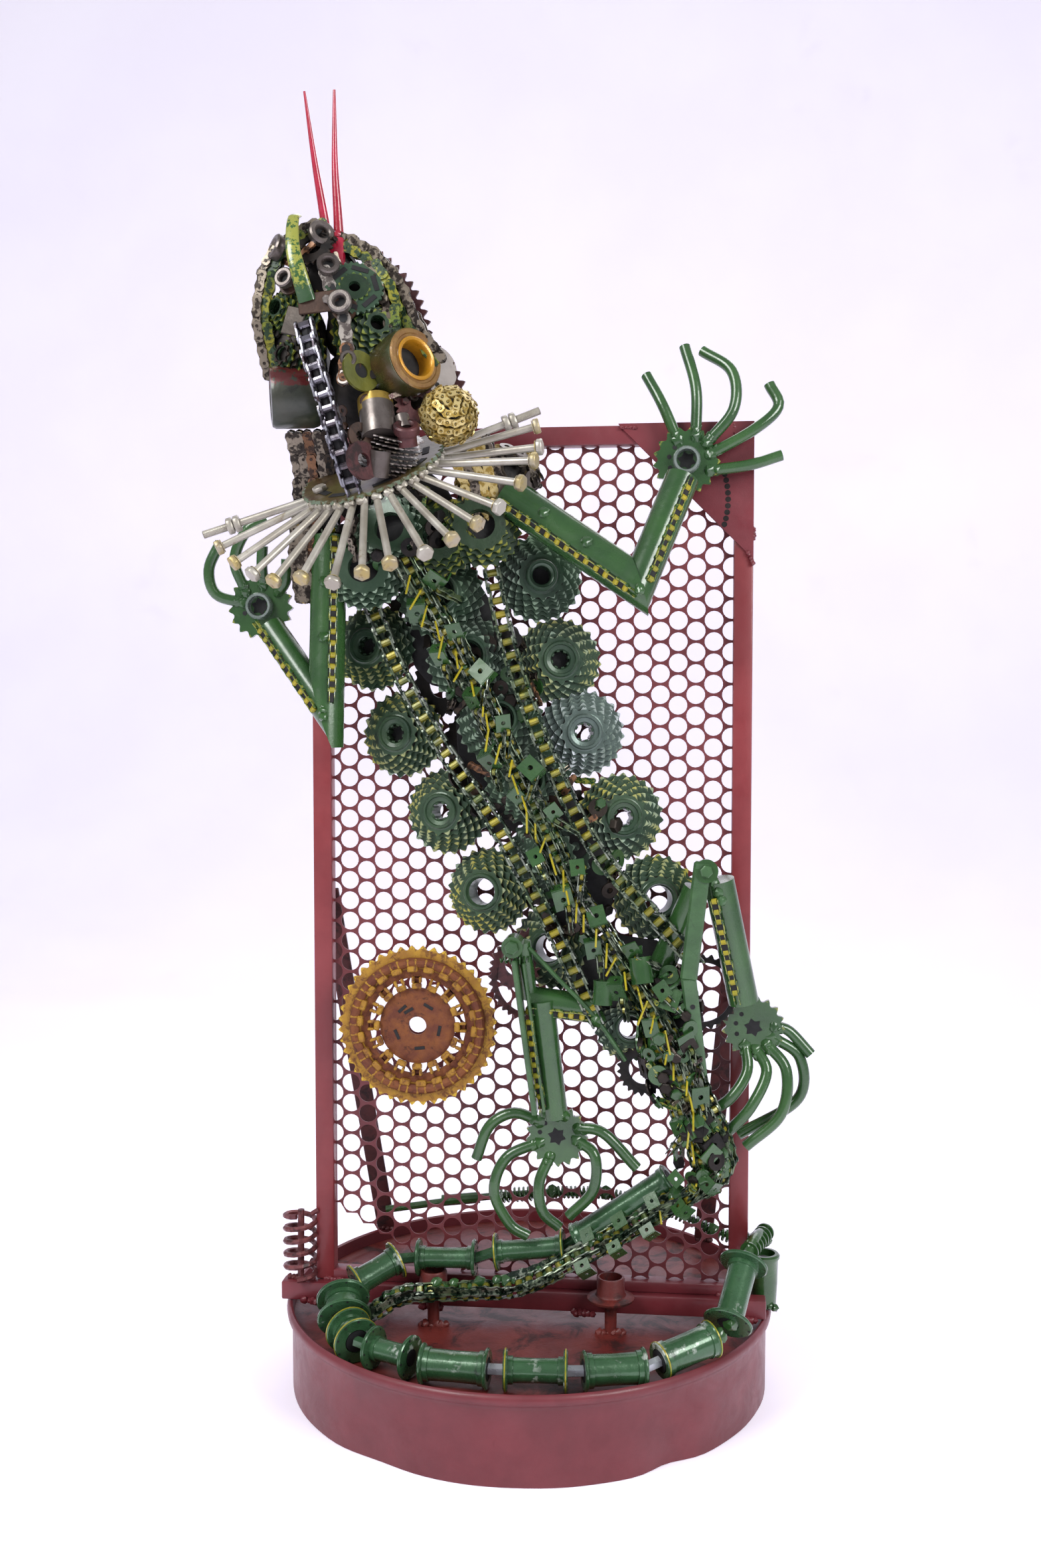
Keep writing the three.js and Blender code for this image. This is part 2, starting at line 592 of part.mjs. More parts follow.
// springs strung end to end behind the panel, down to a bare rod
const tailRear = (g) => {
  const thick = [v(276, -4, 172), v(250, 6, 168), v(223, 8, 176), v(167, 12, 200), v(93, 20, 214),
    v(27, 20, 213)];
  const thin = [v(30, 20, 213), v(-63, 20, 203), v(-179, 10, 187)];
  return join([rod(g, 8, thick, 7, 2), rod(g, 4.5, thin, 6, 3)]);
};

// ---- the scene graph -------------------------------------------------------------------------

const OXIDE = ["#7b3b40", 0.55, 0.2];
const ENAMEL = ["#3c7a45", 0.35, 0.2];
const COGS = ["#41604a", 0.45, 0.4];
const RUSTED = ["#a57b2f", 0.6, 0.3];
const MAROON = ["#6d2b2f", 0.5, 0.3];
const BRONZE = ["#6f6a3c", 0.45, 0.5];
const SILVER = ["#a9a9a2", 0.3, 0.9];
const ZINC = ["#a8a595", 0.45, 0.8];
const TONGUE_RED = ["#a8242a", 0.35, 0.1];

const outward = (side) => v(side * 0.22, -0.97, 0.06);
const row = (name, faces, side) => {
  const piece = (face, i) => [`${name}_${i + 1}`, COGS, freewheel(face, outward(side))];
  return faces.map(piece);
};

// in the order in which they hold their ground: each is cut clear of those before it
const PIECES = [
  ["drum_wall", OXIDE, drumWall],
  ["drum_head", OXIDE, drumHead],
  ["crossbar", OXIDE, crossbar],
  ["frame_post_left", OXIDE, post(FRAME_LEFT)],
  ["frame_post_right", OXIDE, post(FRAME_RIGHT - TUBE)],
  ["frame_bottom_rail", OXIDE, rail(CROSSBAR_TOP + GAP, BOTTOM_RAIL_HEIGHT)],
  ["frame_top_rail", OXIDE, rail(FRAME_TOP - TUBE, TUBE)],
  ["punched_panel", OXIDE, punchedPanel],
  ["gusset", OXIDE, gusset],
  ["back_brace_left", OXIDE, backBrace(-1)],
  ["back_brace_right", OXIDE, backBrace(1)],
  ["coil_spring", OXIDE, coilSpring],
  ["headset_cup_left", OXIDE, headsetCup(-1)],
  ["headset_cup_right", OXIDE, headsetCup(1)],
  ["spine_chain", ENAMEL, spineChain],
  ["side_chain_right", ENAMEL, sideChain(RIGHT_SIDE)],
  ["side_chain_left", ENAMEL, sideChain(LEFT_SIDE)],
  ["upper_arm_right", ENAMEL, rightUpperArm],
  ["upper_arm_left", ENAMEL, leftUpperArm],
  ["forearm_right", ENAMEL, rightForearm],
  ["forearm_left", ENAMEL, leftForearm],
  ["hand_right", ENAMEL, rightHand],
  ["hand_left", ENAMEL, leftHand],
  ["shin_right", ENAMEL, rightShin],
  ["shin_left", ENAMEL, leftShin],
  ["thigh_right", ENAMEL, rightThigh],
  ["thigh_left", ENAMEL, leftThigh],
  ["foot_right", ENAMEL, rightFoot],
  ["foot_left", ENAMEL, leftFoot],
  ["chainring_yellow", RUSTED, yellowChainring],
  ["chainring_small", MAROON, smallChainring],
  ["bolt_collar", ZINC, boltCollar],
  ["eye_right", BRONZE, rightEye],
  ["eye_left", MAROON, leftEye],
  ["head_chain", SILVER, headChain],
  ["tongue", TONGUE_RED, tongue],
  ["jaw_chain_right", ENAMEL, rightJawChain],
  ["snout", ENAMEL, snout],
  ["skull", ENAMEL, skull],
  ["neck_right", ENAMEL, rightNeck],
  ["nape", ENAMEL, nape],
  ...row("freewheel_right", RIGHT_ROW, 1),
  ...row("freewheel_left", LEFT_ROW, -1),
  ["freewheel_hip", COGS, freewheel(v(126, -112, 442), v(0.1, -1, 0.1))],
  ["freewheels_middle", COGS, middleFreewheels],
  ["tail_chain", ENAMEL, tailChain],
  ["tail_hubs_crossbar", ENAMEL, tailOverCrossbar],
  ["tail_hubs_turn", ENAMEL, tailTurn],
  ["tail_hubs_front", ENAMEL, tailFront],
  ["tail_hub_rise", ENAMEL, tailRise],
  ["tail_cup", ENAMEL, tailCup],
  ["tail_rear", ENAMEL, tailRear],
];

const apart = (a, b) => [0, 1, 2].some((k) => a.max[k] < b.min[k] || b.max[k] < a.min[k]);

// a cut can free a sliver, so the largest body is what stays
const cutClear = (solid, earlier) => {
  const near = earlier.filter((other) => !apart(other.boundingBox(), solid.boundingBox()));
  if (near.length === 0) return solid;
  const bodies = solid.subtract(join(near)).decompose();
  return bodies.reduce((largest, body) => (body.volume() > largest.volume() ? body : largest));
};

const sculpture = new THREE.Group();
sculpture.position.set(...OFF_CENTRE, 0);
const placed = [];
for (const [name, [color, roughness, metalness], make] of PIECES) {
  const solid = cutClear(make(0), placed);
  placed.push(make(GAP));
  const material = new THREE.MeshStandardMaterial({ color, roughness, metalness });
  const mesh = new THREE.Mesh(toGeometry(solid), material);
  mesh.name = name;
  sculpture.add(mesh);
}

export default sculpture;
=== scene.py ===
import math
import random

import bmesh
import bpy
from mathutils import Matrix, Vector, noise


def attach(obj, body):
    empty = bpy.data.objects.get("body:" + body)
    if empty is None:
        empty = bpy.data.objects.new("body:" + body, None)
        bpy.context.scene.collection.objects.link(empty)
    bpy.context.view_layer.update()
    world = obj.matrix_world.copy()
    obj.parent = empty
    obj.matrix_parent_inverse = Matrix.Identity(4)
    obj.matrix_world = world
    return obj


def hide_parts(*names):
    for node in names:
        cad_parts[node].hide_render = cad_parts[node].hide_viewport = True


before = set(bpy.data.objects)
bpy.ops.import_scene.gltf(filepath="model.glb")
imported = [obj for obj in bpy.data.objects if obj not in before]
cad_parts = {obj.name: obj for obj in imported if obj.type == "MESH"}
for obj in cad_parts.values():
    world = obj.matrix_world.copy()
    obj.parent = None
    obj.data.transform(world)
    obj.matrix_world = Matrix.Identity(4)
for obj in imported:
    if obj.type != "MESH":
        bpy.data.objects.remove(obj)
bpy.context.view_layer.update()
scene = bpy.context.scene

# ---- Drum end ------------------------------------------------------------------------------------
# The cut-off end of a 200 litre steel drum: a pressed head in a rolled chime, on 100 mm of wall.
# Brushed all over with red-brown oxide paint; the cut hem is a little wavy, and the wall is dented.
# Every mesh here is made in millimetres about the drum's axis, then brought into the frame.
to_frame = Matrix.Translation((0.014, 0.006, 0)) @ Matrix.Scale(0.001, 4)
UP, FRONT = Vector((0, 0, 1)), Vector((0, -1, 0))


# an sRGB hex colour as the linear values that shaders take
def linear(hex_colour):
    def channel(i):
        c = int(hex_colour[i : i + 2], 16) / 255
        return c / 12.92 if c <= 0.04045 else ((c + 0.055) / 1.055) ** 2.4

    return (channel(1), channel(3), channel(5), 1.0)


# adds a node, with its settings and the values or links of its inputs
def add(tree, kind, inputs=None, **settings):
    node = tree.nodes.new("ShaderNode" + kind)
    for name, value in settings.items():
        setattr(node, name, value)
    for socket, value in (inputs or {}).items():
        if isinstance(value, bpy.types.NodeSocket):
            tree.links.new(value, node.inputs[socket])
        else:
            node.inputs[socket].default_value = value
    return node


# a finish brushed or plated on scrap: two tones in patches, dirt in spots, and a third colour (or two
# in patches) where a corner attribute marks rubbed or dry-brushed paint and painted highlights; sizes are in mm
def finish(name, tone, second, wear_and_highlight, dirt, rough, metal=0.0, patch=45, grain=3.0, relief=0.4, gloss=0.0,
           dirty=0.58, second_wear_and_highlight=None):
    made = bpy.data.materials.new(name)
    made.use_nodes = True
    tree = made.node_tree
    shader = tree.nodes["Principled BSDF"]
    place = add(tree, "TexCoord").outputs["Object"]
    patches = add(tree, "TexNoise", {"Vector": place, "Scale": 1000 / patch, "Detail": 5.0,
                                     "Roughness": 0.6})
    grains = add(tree, "TexNoise", {"Vector": place, "Scale": 1000 / grain, "Detail": 3.0,
                                    "Roughness": 0.65})
    spots = add(tree, "TexNoise", {"Vector": place, "Scale": 1400 / patch, "Detail": 8.0, "Roughness": 0.72,
                                   "Distortion": 0.6})
    lighter = add(tree, "MapRange", {"Value": patches.outputs["Fac"], "From Min": 0.38, "From Max": 0.62})
    soiled = add(tree, "MapRange", {"Value": spots.outputs["Fac"], "From Min": dirty,
                                    "From Max": dirty + 0.1, "To Max": 0.85})
    mask = add(tree, "Attribute", attribute_name="wear_and_highlight")
    broken = add(tree, "MapRange", {"Value": grains.outputs["Fac"], "From Min": 0.62, "From Max": 0.38})
    wear_and_highlight_mask = add(tree, "Math", {0: mask.outputs["Fac"], 1: broken.outputs["Result"]}, operation="MULTIPLY")
    hard = add(tree, "MapRange", {"Value": wear_and_highlight_mask.outputs["Value"], "From Min": 0.22, "From Max": 0.5})
    coat = add(tree, "Mix", {0: lighter.outputs["Result"], 6: linear(tone), 7: linear(second)},
               data_type="RGBA")
    aged = add(tree, "Mix", {0: soiled.outputs["Result"], 6: coat.outputs[2], 7: linear(dirt)},
               data_type="RGBA")
    rubbing_and_highlight = add(tree, "Mix", {0: lighter.outputs["Result"], 6: linear(wear_and_highlight), 7: linear(second_wear_and_highlight or wear_and_highlight)},
              data_type="RGBA")
    whole = add(tree, "Mix", {0: hard.outputs["Result"], 6: aged.outputs[2], 7: rubbing_and_highlight.outputs[2]},
                data_type="RGBA")
    tree.links.new(whole.outputs[2], shader.inputs["Base Color"])
    dull = add(tree, "MapRange", {"Value": spots.outputs["Fac"], "From Min": 0.35, "From Max": 0.7,
                                  "To Min": rough, "To Max": rough + 0.24})
    tree.links.new(dull.outputs["Result"], shader.inputs["Roughness"])
    height = add(tree, "Math", {0: grains.outputs["Fac"], 1: 0.35, 2: patches.outputs["Fac"]},
                 operation="MULTIPLY_ADD")
    bump = add(tree, "Bump", {"Height": height.outputs["Value"], "Strength": relief, "Distance": 0.0015})
    tree.links.new(bump.outputs["Normal"], shader.inputs["Normal"])
    shader.inputs["Metallic"].default_value = metal
    shader.inputs["Coat Weight"].default_value = gloss
    shader.inputs["Coat Roughness"].default_value = 0.12
    return made


# red-brown oxide primer, brushed on in one coat: satin, with dull dusty patches
oxide = finish("oxide_primer", "#642128", "#702930", "#96605a", "#3f1a1c", 0.36, 0.0, 60, 1.6, 0.25, 0.15,
               0.66)
# the same paint worn through by rain lying on the head: rust and black stain show
stained = finish("stained_oxide", "#561815", "#6a2822", "#8a5a4a", "#240f0e", 0.4, 0.05, 60, 3.0, 0.5,
                 0.05, 0.5)


# the mesh of a finished bmesh, just as it is
def mesh_of(bm, name="shape"):
    mesh = bpy.data.meshes.new(name)
    bm.to_mesh(mesh)
    bm.free()
    return mesh


# the mesh of a bmesh whose seams are joined and whose faces all point outwards
def shape_from(bm, merge=0.01):
    bmesh.ops.remove_doubles(bm, verts=bm.verts, dist=merge)
    bmesh.ops.recalc_face_normals(bm, faces=bm.faces)
    return mesh_of(bm)


# puts a shape on the piece that is being built, at a place, in one of the piece's finishes
def put(parts, shape, place=Matrix(), tone=None):
    copy = shape.copy()
    copy.transform(place)
    if tone is not None:
        copy.polygons.foreach_set("material_index", [tone] * len(copy.polygons))
    parts.from_mesh(copy)
    bpy.data.meshes.remove(copy)


# the place where a shape's Z runs along `axis`, and its X as near `facing` as can be
def stand(at, axis=UP, facing=FRONT, size=1.0):
    z = Vector(axis).normalized()
    x = Vector(facing) - z * z.dot(Vector(facing))
    x = x.normalized() if x.length > 1e-3 else z.orthogonal().normalized()
    turn = Matrix((x, z.cross(x), z)).transposed().to_4x4()
    return Matrix.Translation(Vector(at)) @ turn @ Matrix.Scale(size, 4)


# an empty bmesh that knows, for each corner, how much rubbed wear and painted highlight it takes
def new_parts():
    parts = bmesh.new()
    parts.verts.layers.float.new("wear_and_highlight")
    return parts


# a finished piece: into the frame, with its finishes and body, hiding the nodes it stands for
def piece(name, parts, finishes, slot, *nodes, sharp=35):
    bmesh.ops.transform(parts, matrix=to_frame, verts=parts.verts)
    mesh = mesh_of(parts, name)
    for made in finishes:
        mesh.materials.append(made)
    mesh.shade_smooth()
    mesh.set_sharp_from_angle(angle=math.radians(sharp))
    built = bpy.data.objects.new(name, mesh)
    scene.collection.objects.link(built)
    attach(built, "root")
    if nodes:
        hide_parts(*nodes)
    return built


# turns a profile of (radius, height) pairs about Z
def turned(profile, sides=24, closed=False):
    bm = bmesh.new()
    line = [bm.verts.new((radius, 0, height)) for radius, height in profile]
    edges = [bm.edges.new(pair) for pair in zip(line, line[1:])]
    if closed:
        edges.append(bm.edges.new((line[-1], line[0])))
    bmesh.ops.spin(bm, geom=line + edges, cent=(0, 0, 0), axis=(0, 0, 1), angle=2 * math.pi, steps=sides,
                   use_merge=True)
    return shape_from(bm)


# a plain disc between two heights, or a ring when it has a bore
def disc(radius, low, high, sides, bore=0):
    profile = [(bore, low), (radius, low), (radius, high), (bore, high)]
    return turned(profile, sides, closed=bore > 0)


wall_profile = [(284.5, 0), (286, 0), (286, 30), (286, 60), (286, 82), (288, 87), (292, 90), (292.5, 94),
                (291, 98.5), (288, 100), (285.5, 98.5), (284.6, 92), (284.5, 60), (284.5, 30)]
wall = turned(wall_profile, 128, closed=True)
for corner in wall.vertices:
    co = corner.co
    bearing = math.degrees(math.atan2(co.y, co.x))
    out = Vector((co.x, co.y, 0)).normalized()
    low = 1 - min(co.z / 84, 1)
    ripple = 1.6 * noise.noise(Vector((bearing / 14, 0, 3)))
    dent = 9 * math.exp(-(((bearing + 52) / 6) ** 2)) * low
    dent += 5 * math.exp(-(((bearing + 118) / 9) ** 2)) * low
    corner.co = co + out * (ripple * low - dent)
parts = new_parts()
put(parts, wall)
piece("drum_wall_rolled", parts, [oxide], "oxide_paint", "drum_wall", sharp=50)

head_profile = [(0, 84), (150, 84.4), (262, 84), (268, 83), (274, 83), (278, 84), (284, 84), (284, 82.5),
                (262, 82), (0, 82)]
parts = new_parts()
put(parts, turned(head_profile, 96))
piece("drum_head_pressed", parts, [stained], "oxide_paint", "drum_head")

# ---- Frame ---------------------------------------------------------------------------------------
# Two posts, a top rail and a long crossbar of 22 mm square tube, and a low rail under the panel.
# Welded at the corners and brushed with the same oxide paint, brick red where a second coat went on.
# a second coat of brick-red enamel, brushed over the posts
brick = finish("brick_red_paint", "#742529", "#812f32", "#a87268", "#3d1517", 0.34, 0.0, 80, 1.4, 0.2,
               0.2, 0.68)


# a block between two corners, with eased edges
def bar(low, high, rounding=2.2, segments=2):
    bm = bmesh.new()
    low, high = Vector(low), Vector(high)
    middle = (low + high) / 2
    bmesh.ops.create_cube(bm, size=1, matrix=Matrix.Translation(middle) @ Matrix.Diagonal(
        (*(high - low), 1)))
    bmesh.ops.bevel(bm, geom=bm.edges, offset=rounding, offset_type="OFFSET", segments=segments,
                    profile=0.5,
                    affect="EDGES", material=-1)
    return shape_from(bm)


# a weld bead or spatter: a lump with a rough skin
def lump_shape(seed, roughness=0.35, detail=2):
    bm = bmesh.new()
    bmesh.ops.create_icosphere(bm, subdivisions=detail, radius=1)
    for corner in bm.verts:
        corner.co *= 1 + roughness * noise.noise(corner.co * 1.7 + Vector((seed, 0, 0)))
    return shape_from(bm)


lumps = [lump_shape(seed) for seed in range(4)]
dice = random.Random(7)


# a row of lumps from one point to another, jittered like a bead laid by hand
def weld(parts, start, end, radius, tone=0):
    start, end = Vector(start), Vector(end)
    count = max(2, int((end - start).length / (radius * 0.9)))
    for i in range(count):
        at = start.lerp(end, i / (count - 1))
        at += Vector((dice.uniform(-1, 1), dice.uniform(-1, 1), dice.uniform(-1, 1))) * radius * 0.25
        put(parts, lumps[i % 4], stand(at, (dice.random(), dice.random(), 1),
                                       size=radius * dice.uniform(0.8, 1.2)),
            tone)


left, right, top, front, back = -251, 262, 1130, -58, -36
square, rim_top, sill = 22, 100.3, 122.6
parts = new_parts()
put(parts, bar((left, front, sill), (left + square, back, top)), tone=1)
put(parts, bar((right - square, front, sill), (right, back, top)), tone=1)
put(parts, bar((left + 21, front, top - square), (right - 21, back, top)))
put(parts, bar((left + 21, front, sill), (right - 21, back, sill + 12), 1.2))
put(parts, bar((-291, -70, rim_top), (283, -70 + square, rim_top + square)))
for x in (left + square, right - square):
    weld(parts, (x, front, top - 24), (x, front, top - 2), 2.4)
    weld(parts, (x - 11, front, 123), (x + 11, front - 2, 123), 3)
for x in (-262, 248, 60, -120):
    weld(parts, (x, -71, 101), (x + 22, -73, 100), 4)
piece("frame_tubes", parts, [oxide, brick], "oxide_paint", "frame_post_left", "frame_post_right",
      "frame_top_rail", "frame_bottom_rail", "crossbar")

# ---- Corner plate --------------------------------------------------------------------------------
# A 2 mm steel triangle with one curved slot, a cut-off from another job, tacked to the top corner.
# Oxide paint over mill scale; the bottom corner is torn where the torch left it.


# a flat outline drawn out into a plate
def thicken(bm, by):
    grown = bmesh.ops.extrude_face_region(bm, geom=bm.faces[:])["geom"]
    bmesh.ops.translate(bm, verts=[g for g in grown if isinstance(g, bmesh.types.BMVert)], vec=by)


# a solid round or hexagonal plug, half of it on each side of its place
def plug(radius, depth, sides, place=Matrix()):
    bm = bmesh.new()
    bmesh.ops.create_cone(bm, cap_ends=True, segments=sides, radius1=radius, radius2=radius, depth=depth,
                          matrix=place)
    return bm


bm = bmesh.new()
outline = [(262, 1131.5), (108, 1131.5), (112, 1126), (258, 980), (262, 976)]
corners = [bm.verts.new((x, -58.4, z)) for x, z in outline]
bm.faces.new(corners)
thicken(bm, (0, -2, 0))
bmesh.ops.bevel(bm, geom=bm.edges, offset=0.5, offset_type="OFFSET", segments=1, profile=0.5,
                affect="EDGES",
                material=-1)
gusset = shape_from(bm)
# the dark inside of the torch-cut slot
shadow_line = finish("open_slot", "#140d0d", "#1e1414", "#2a1a1a", "#0c0808", 0.8, 0.0, 20, 2, 0.1)
dot = shape_from(plug(3.2, 0.5, 14))
parts = new_parts()
put(parts, gusset)
for i in range(9):
    angle = math.radians(-28 + 7 * i)
    at = (199 + 34 * math.cos(angle), -60.5, 1044 + 60 * math.sin(angle))
    put(parts, dot, stand(at, FRONT), 1)
weld(parts, (112, -60, 1127), (128, -60, 1127), 2.2)
weld(parts, (256, -60, 984), (262, -60, 972), 2.6)
weld(parts, (262, -52, 1000), (262, -52, 1012), 2.4)
piece("corner_plate", parts, [oxide, shadow_line], "oxide_paint", "gusset")

# ---- Punched panel -------------------------------------------------------------------------------
# The skeleton left when 21.5 mm discs are punched from 1.5 mm sheet, columns 20.4 mm apart.
# Maroon paint on webs only 2 to 3 mm wide; the holes run on under the posts.
# maroon paint, thin on the cut edges of the webs
maroon_web = finish("maroon_web_paint", "#5c2228", "#6b2c30", "#8f6a66", "#331417", 0.4, 0.0, 50, 1.5,
                    0.2, 0.1, 0.62)
pitch_x, pitch_z, hole = 20.38, 24.41, 10.75


# cuts away whatever lies beyond a plane
def cut_off(bm, at, away):
    bmesh.ops.bisect_plane(bm, geom=bm.verts[:] + bm.edges[:] + bm.faces[:], plane_co=at, plane_no=away,
                           clear_outer=True)


bm = bmesh.new()
rim = bmesh.ops.create_circle(bm, segments=18, radius=hole,
                              matrix=Matrix.Rotation(math.pi / 2, 4, "X"))["verts"]
cell = [(13.84, 0), (6.54, 12.2), (-6.54, 12.2), (-13.84, 0), (-6.54, -12.2), (6.54, -12.2)]
hexagon = [bm.verts.new((x, 0, z)) for x, z in cell]
sides = [bm.edges.new((hexagon[i], hexagon[(i + 1) % 6])) for i in range(6)]
bmesh.ops.subdivide_edges(bm, edges=sides, cuts=2)
bmesh.ops.bridge_loops(bm, edges=bm.edges[:])
web = shape_from(bm)
parts = new_parts()
for column in range(-19, 8):
    for line in range(-36, 36):
        x = 136.9 + pitch_x * column
        z = 859.6 - pitch_z * (line + column / 2)
        if -242 < x < 253 and 112 < z < 1128:
            put(parts, web, Matrix.Translation((x, -46.2, z)))
bmesh.ops.remove_doubles(parts, verts=parts.verts, dist=0.2)
limits = [((left + square, 0, 0), (-1, 0, 0)), ((right - square, 0, 0), (1, 0, 0)),
          ((0, 0, 135), (0, 0, -1)),
          ((0, 0, top - square), (0, 0, 1))]
for at, outward in limits:
    cut_off(parts, at, outward)
bmesh.ops.recalc_face_normals(parts, faces=parts.faces)
bmesh.ops.solidify(parts, geom=parts.faces[:], thickness=1.5)
bmesh.ops.recalc_face_normals(parts, faces=parts.faces)
piece("punched_sheet", parts, [maroon_web], "oxide_paint", "punched_panel", sharp=40)

# ---- Back braces ---------------------------------------------------------------------------------
# Flat 24 by 5 mm bars from behind each post down to the drum's rim, tacked at both ends.
# Hidden work: painted once, thinly, and rusting at the tacks.
# one thin coat of oxide over rusty bar
thin_oxide = finish("thin_oxide", "#3f1719", "#4f201f", "#7a4a3a", "#1d0c0c", 0.5, 0.1, 30, 2, 0.4, 0.0,
                    0.52)


# a flat bar from one point to another, with its corners eased
def strap(start, end, width, thickness, facing=FRONT, rounding=0.8):
    start, end = Vector(start), Vector(end)
    length = (end - start).length
    shape = bar((-thickness / 2, -width / 2, 0), (thickness / 2, width / 2, length), rounding, 1)
    return shape, stand(start, end - start, facing)


parts = new_parts()
for side, edge in ((-1, left), (1, right)):
    top_at = Vector((edge - side * 11, back + 8, 590))
    foot_at = Vector((side * 214, 184, 104))
    put(parts, *strap(top_at, foot_at, 24, 5))
    weld(parts, top_at + Vector((0, -5, 8)), top_at + Vector((0, -4, -10)), 4)
    weld(parts, foot_at + Vector((-8, 0, -2)), foot_at + Vector((8, 0, -2)), 4)
piece("braces_behind", parts, [thin_oxide], "oxide_paint", "back_brace_left", "back_brace_right")

# ---- Spring and stake ----------------------------------------------------------------------------
# A small coil spring standing on the crossbar's left end round a stake, tied to the post by a strut.
# Drawn wire, oxide paint over rust, with a weld at each end.
# spring wire whose paint has cracked off to rust
rusted_wire = finish("painted_spring_wire", "#5d2c30", "#7b4343", "#9a8078", "#2c1517", 0.4, 0.3, 18, 1.5,
                     0.4, 0.1, 0.52)


# evenly spaced (place, direction) pairs along a smooth line through the points
def along(points, step):
    points = [Vector(p) for p in points]
    ends = [2 * points[0] - points[1], *points, 2 * points[-1] - points[-2]]
    fine = []
    for a, b, c, d in zip(ends, ends[1:], ends[2:], ends[3:]):
        for i in range(16):
            t = i / 16
            fine.append(b + ((c - a) * t + (2 * a - 5 * b + 4 * c - d) * t**2 + (3 * b - 3 * c + d - a) * t**3) / 2)
    fine.append(points[-1])
    reach = [0.0]
    for a, b in zip(fine, fine[1:]):
        reach.append(reach[-1] + (b - a).length)
    count = max(1, round(reach[-1] / step))
    found, k = [], 0
    for i in range(count + 1):
        goal = reach[-1] * i / count
        while k < len(fine) - 2 and reach[k + 1] < goal:
            k += 1
        part = (goal - reach[k]) / max(reach[k + 1] - reach[k], 1e-6)
        found.append((fine[k].lerp(fine[k + 1], part), (fine[k + 1] - fine[k]).normalized()))
    return found


# a solid rod on a smooth route: its radius may change from one end to the other
def rod(route, radius, sides=10, step=6, tip=None, flat=1.0, facing=None):
    places = along(route, step)
    last = len(places) - 1
    tip = radius if tip is None else tip
    way = places[0][1]
    side = way.orthogonal().normalized() if facing is None else Vector(facing)
    rings = []
    for i, (at, way) in enumerate(places):
        side = (side - way * way.dot(side)).normalized()
        turn = Matrix((side, way.cross(side), way)).transposed().to_4x4()
        size = radius + (tip - radius) * i / last
        rings.append(Matrix.Translation(at) @ turn @ Matrix.Diagonal((size * flat, size, size, 1)))
    bm = bmesh.new()
    bmesh.ops.create_circle(bm, cap_ends=True, segments=sides, radius=1, matrix=rings[0])
    for before, after in zip(rings, rings[1:]):
        bm.faces.ensure_lookup_table()
        grown = bmesh.ops.extrude_face_region(bm, geom=[bm.faces[-1]] if len(bm.faces) == 1 else [end])
        new = [g for g in grown["geom"] if isinstance(g, bmesh.types.BMVert)]
        end = next(g for g in grown["geom"] if isinstance(g, bmesh.types.BMFace))
        bmesh.ops.transform(bm, matrix=after @ before.inverted(), verts=new)
    return shape_from(bm)


# a coil of wire between two points
def coil(start, end, radius, wire, turns, sides=6, steps=14):
    start, end = Vector(start), Vector(end)
    place = stand((0, 0, 0), end - start)
    length = (end - start).length
    count = int(turns * steps)
    route = [start + place @ Vector((radius * math.cos(2 * math.pi * i / steps),
                                     radius * math.sin(2 * math.pi * i / steps), length * i / count))
             for i in range(count + 1)]
    return rod(route, wire, sides, 2 * math.pi * radius / steps)


spring_foot = Vector((-269.7, -59, 123))
parts = new_parts()
put(parts, coil(spring_foot + Vector((0, 0, 4)), spring_foot + Vector((0, 0, 81)), 18, 3.3, 5))
put(parts, rod([spring_foot, spring_foot + Vector((1, 0, 84))], 4, 10, 20))
put(parts, rod([spring_foot + Vector((14, 0, 79)), spring_foot + Vector((22, 1, 84))], 3, 8, 5))
put(parts, rod([spring_foot + Vector((10, 8, 20)), spring_foot + Vector((24, 6, 12))], 3, 8, 5))
weld(parts, spring_foot + Vector((-14, 0, 1)), spring_foot + Vector((14, 0, 1)), 4)
piece("coil_spring_and_stake", parts, [rusted_wire], "oxide_paint", "coil_spring")

# ---- Headset cups --------------------------------------------------------------------------------
# Two bicycle headset cups turned from bar, set on short stubs in front of the crossbar.
# Painted with the drum, so dull dark red, with rust where the bearing ran and pink overspray.
cup_profile = [(0, 0), (7, 0), (7, 33), (20, 38), (27, 39.5), (27.4, 42), (25, 43.4), (18, 45),
               (16.4, 48), (16, 64),
               (15, 66), (13.2, 66), (12.6, 62), (12.6, 50), (0, 50)]
cup = turned(cup_profile, 32)
nut_head = turned([(0, 0), (8, 0), (8, 6), (6.5, 7), (0, 7)], 6)
parts = new_parts()
for x in (-104, 104):
    put(parts, cup, Matrix.Translation((x, -85, 84.3)))
    weld(parts, (x - 14, -88, 85), (x + 14, -88, 85), 5)
    weld(parts, (x - 10, -76, 120), (x + 10, -76, 119), 4)
piece("headset_cups_turned", parts, [stained], "oxide_paint", "headset_cup_left", "headset_cup_right")

# ---- Freewheels ----------------------------------------------------------------------------------
# Bicycle freewheels: six stamped cogs on a turned body with an open bore, welded rim to rim.
# Sprayed green; yellow is dry-brushed on the teeth, whose tips are lighter also as painted highlight, and the gaps
# between cogs are near-black steel as painted shade.
# sprayed green, its dark coat partly painted shade between the teeth; grey-green and yellow are dry-brushed on the
# teeth, the grey-green tips partly a painted highlight
cog_green = finish("sprayed_cog_green", "#2b4230", "#3b5238", "#93a892", "#0d130f", 0.26, 0.3, 60, 9.0,
                   0.5, 0.3, 0.58,
                   second_wear_and_highlight="#aea748")
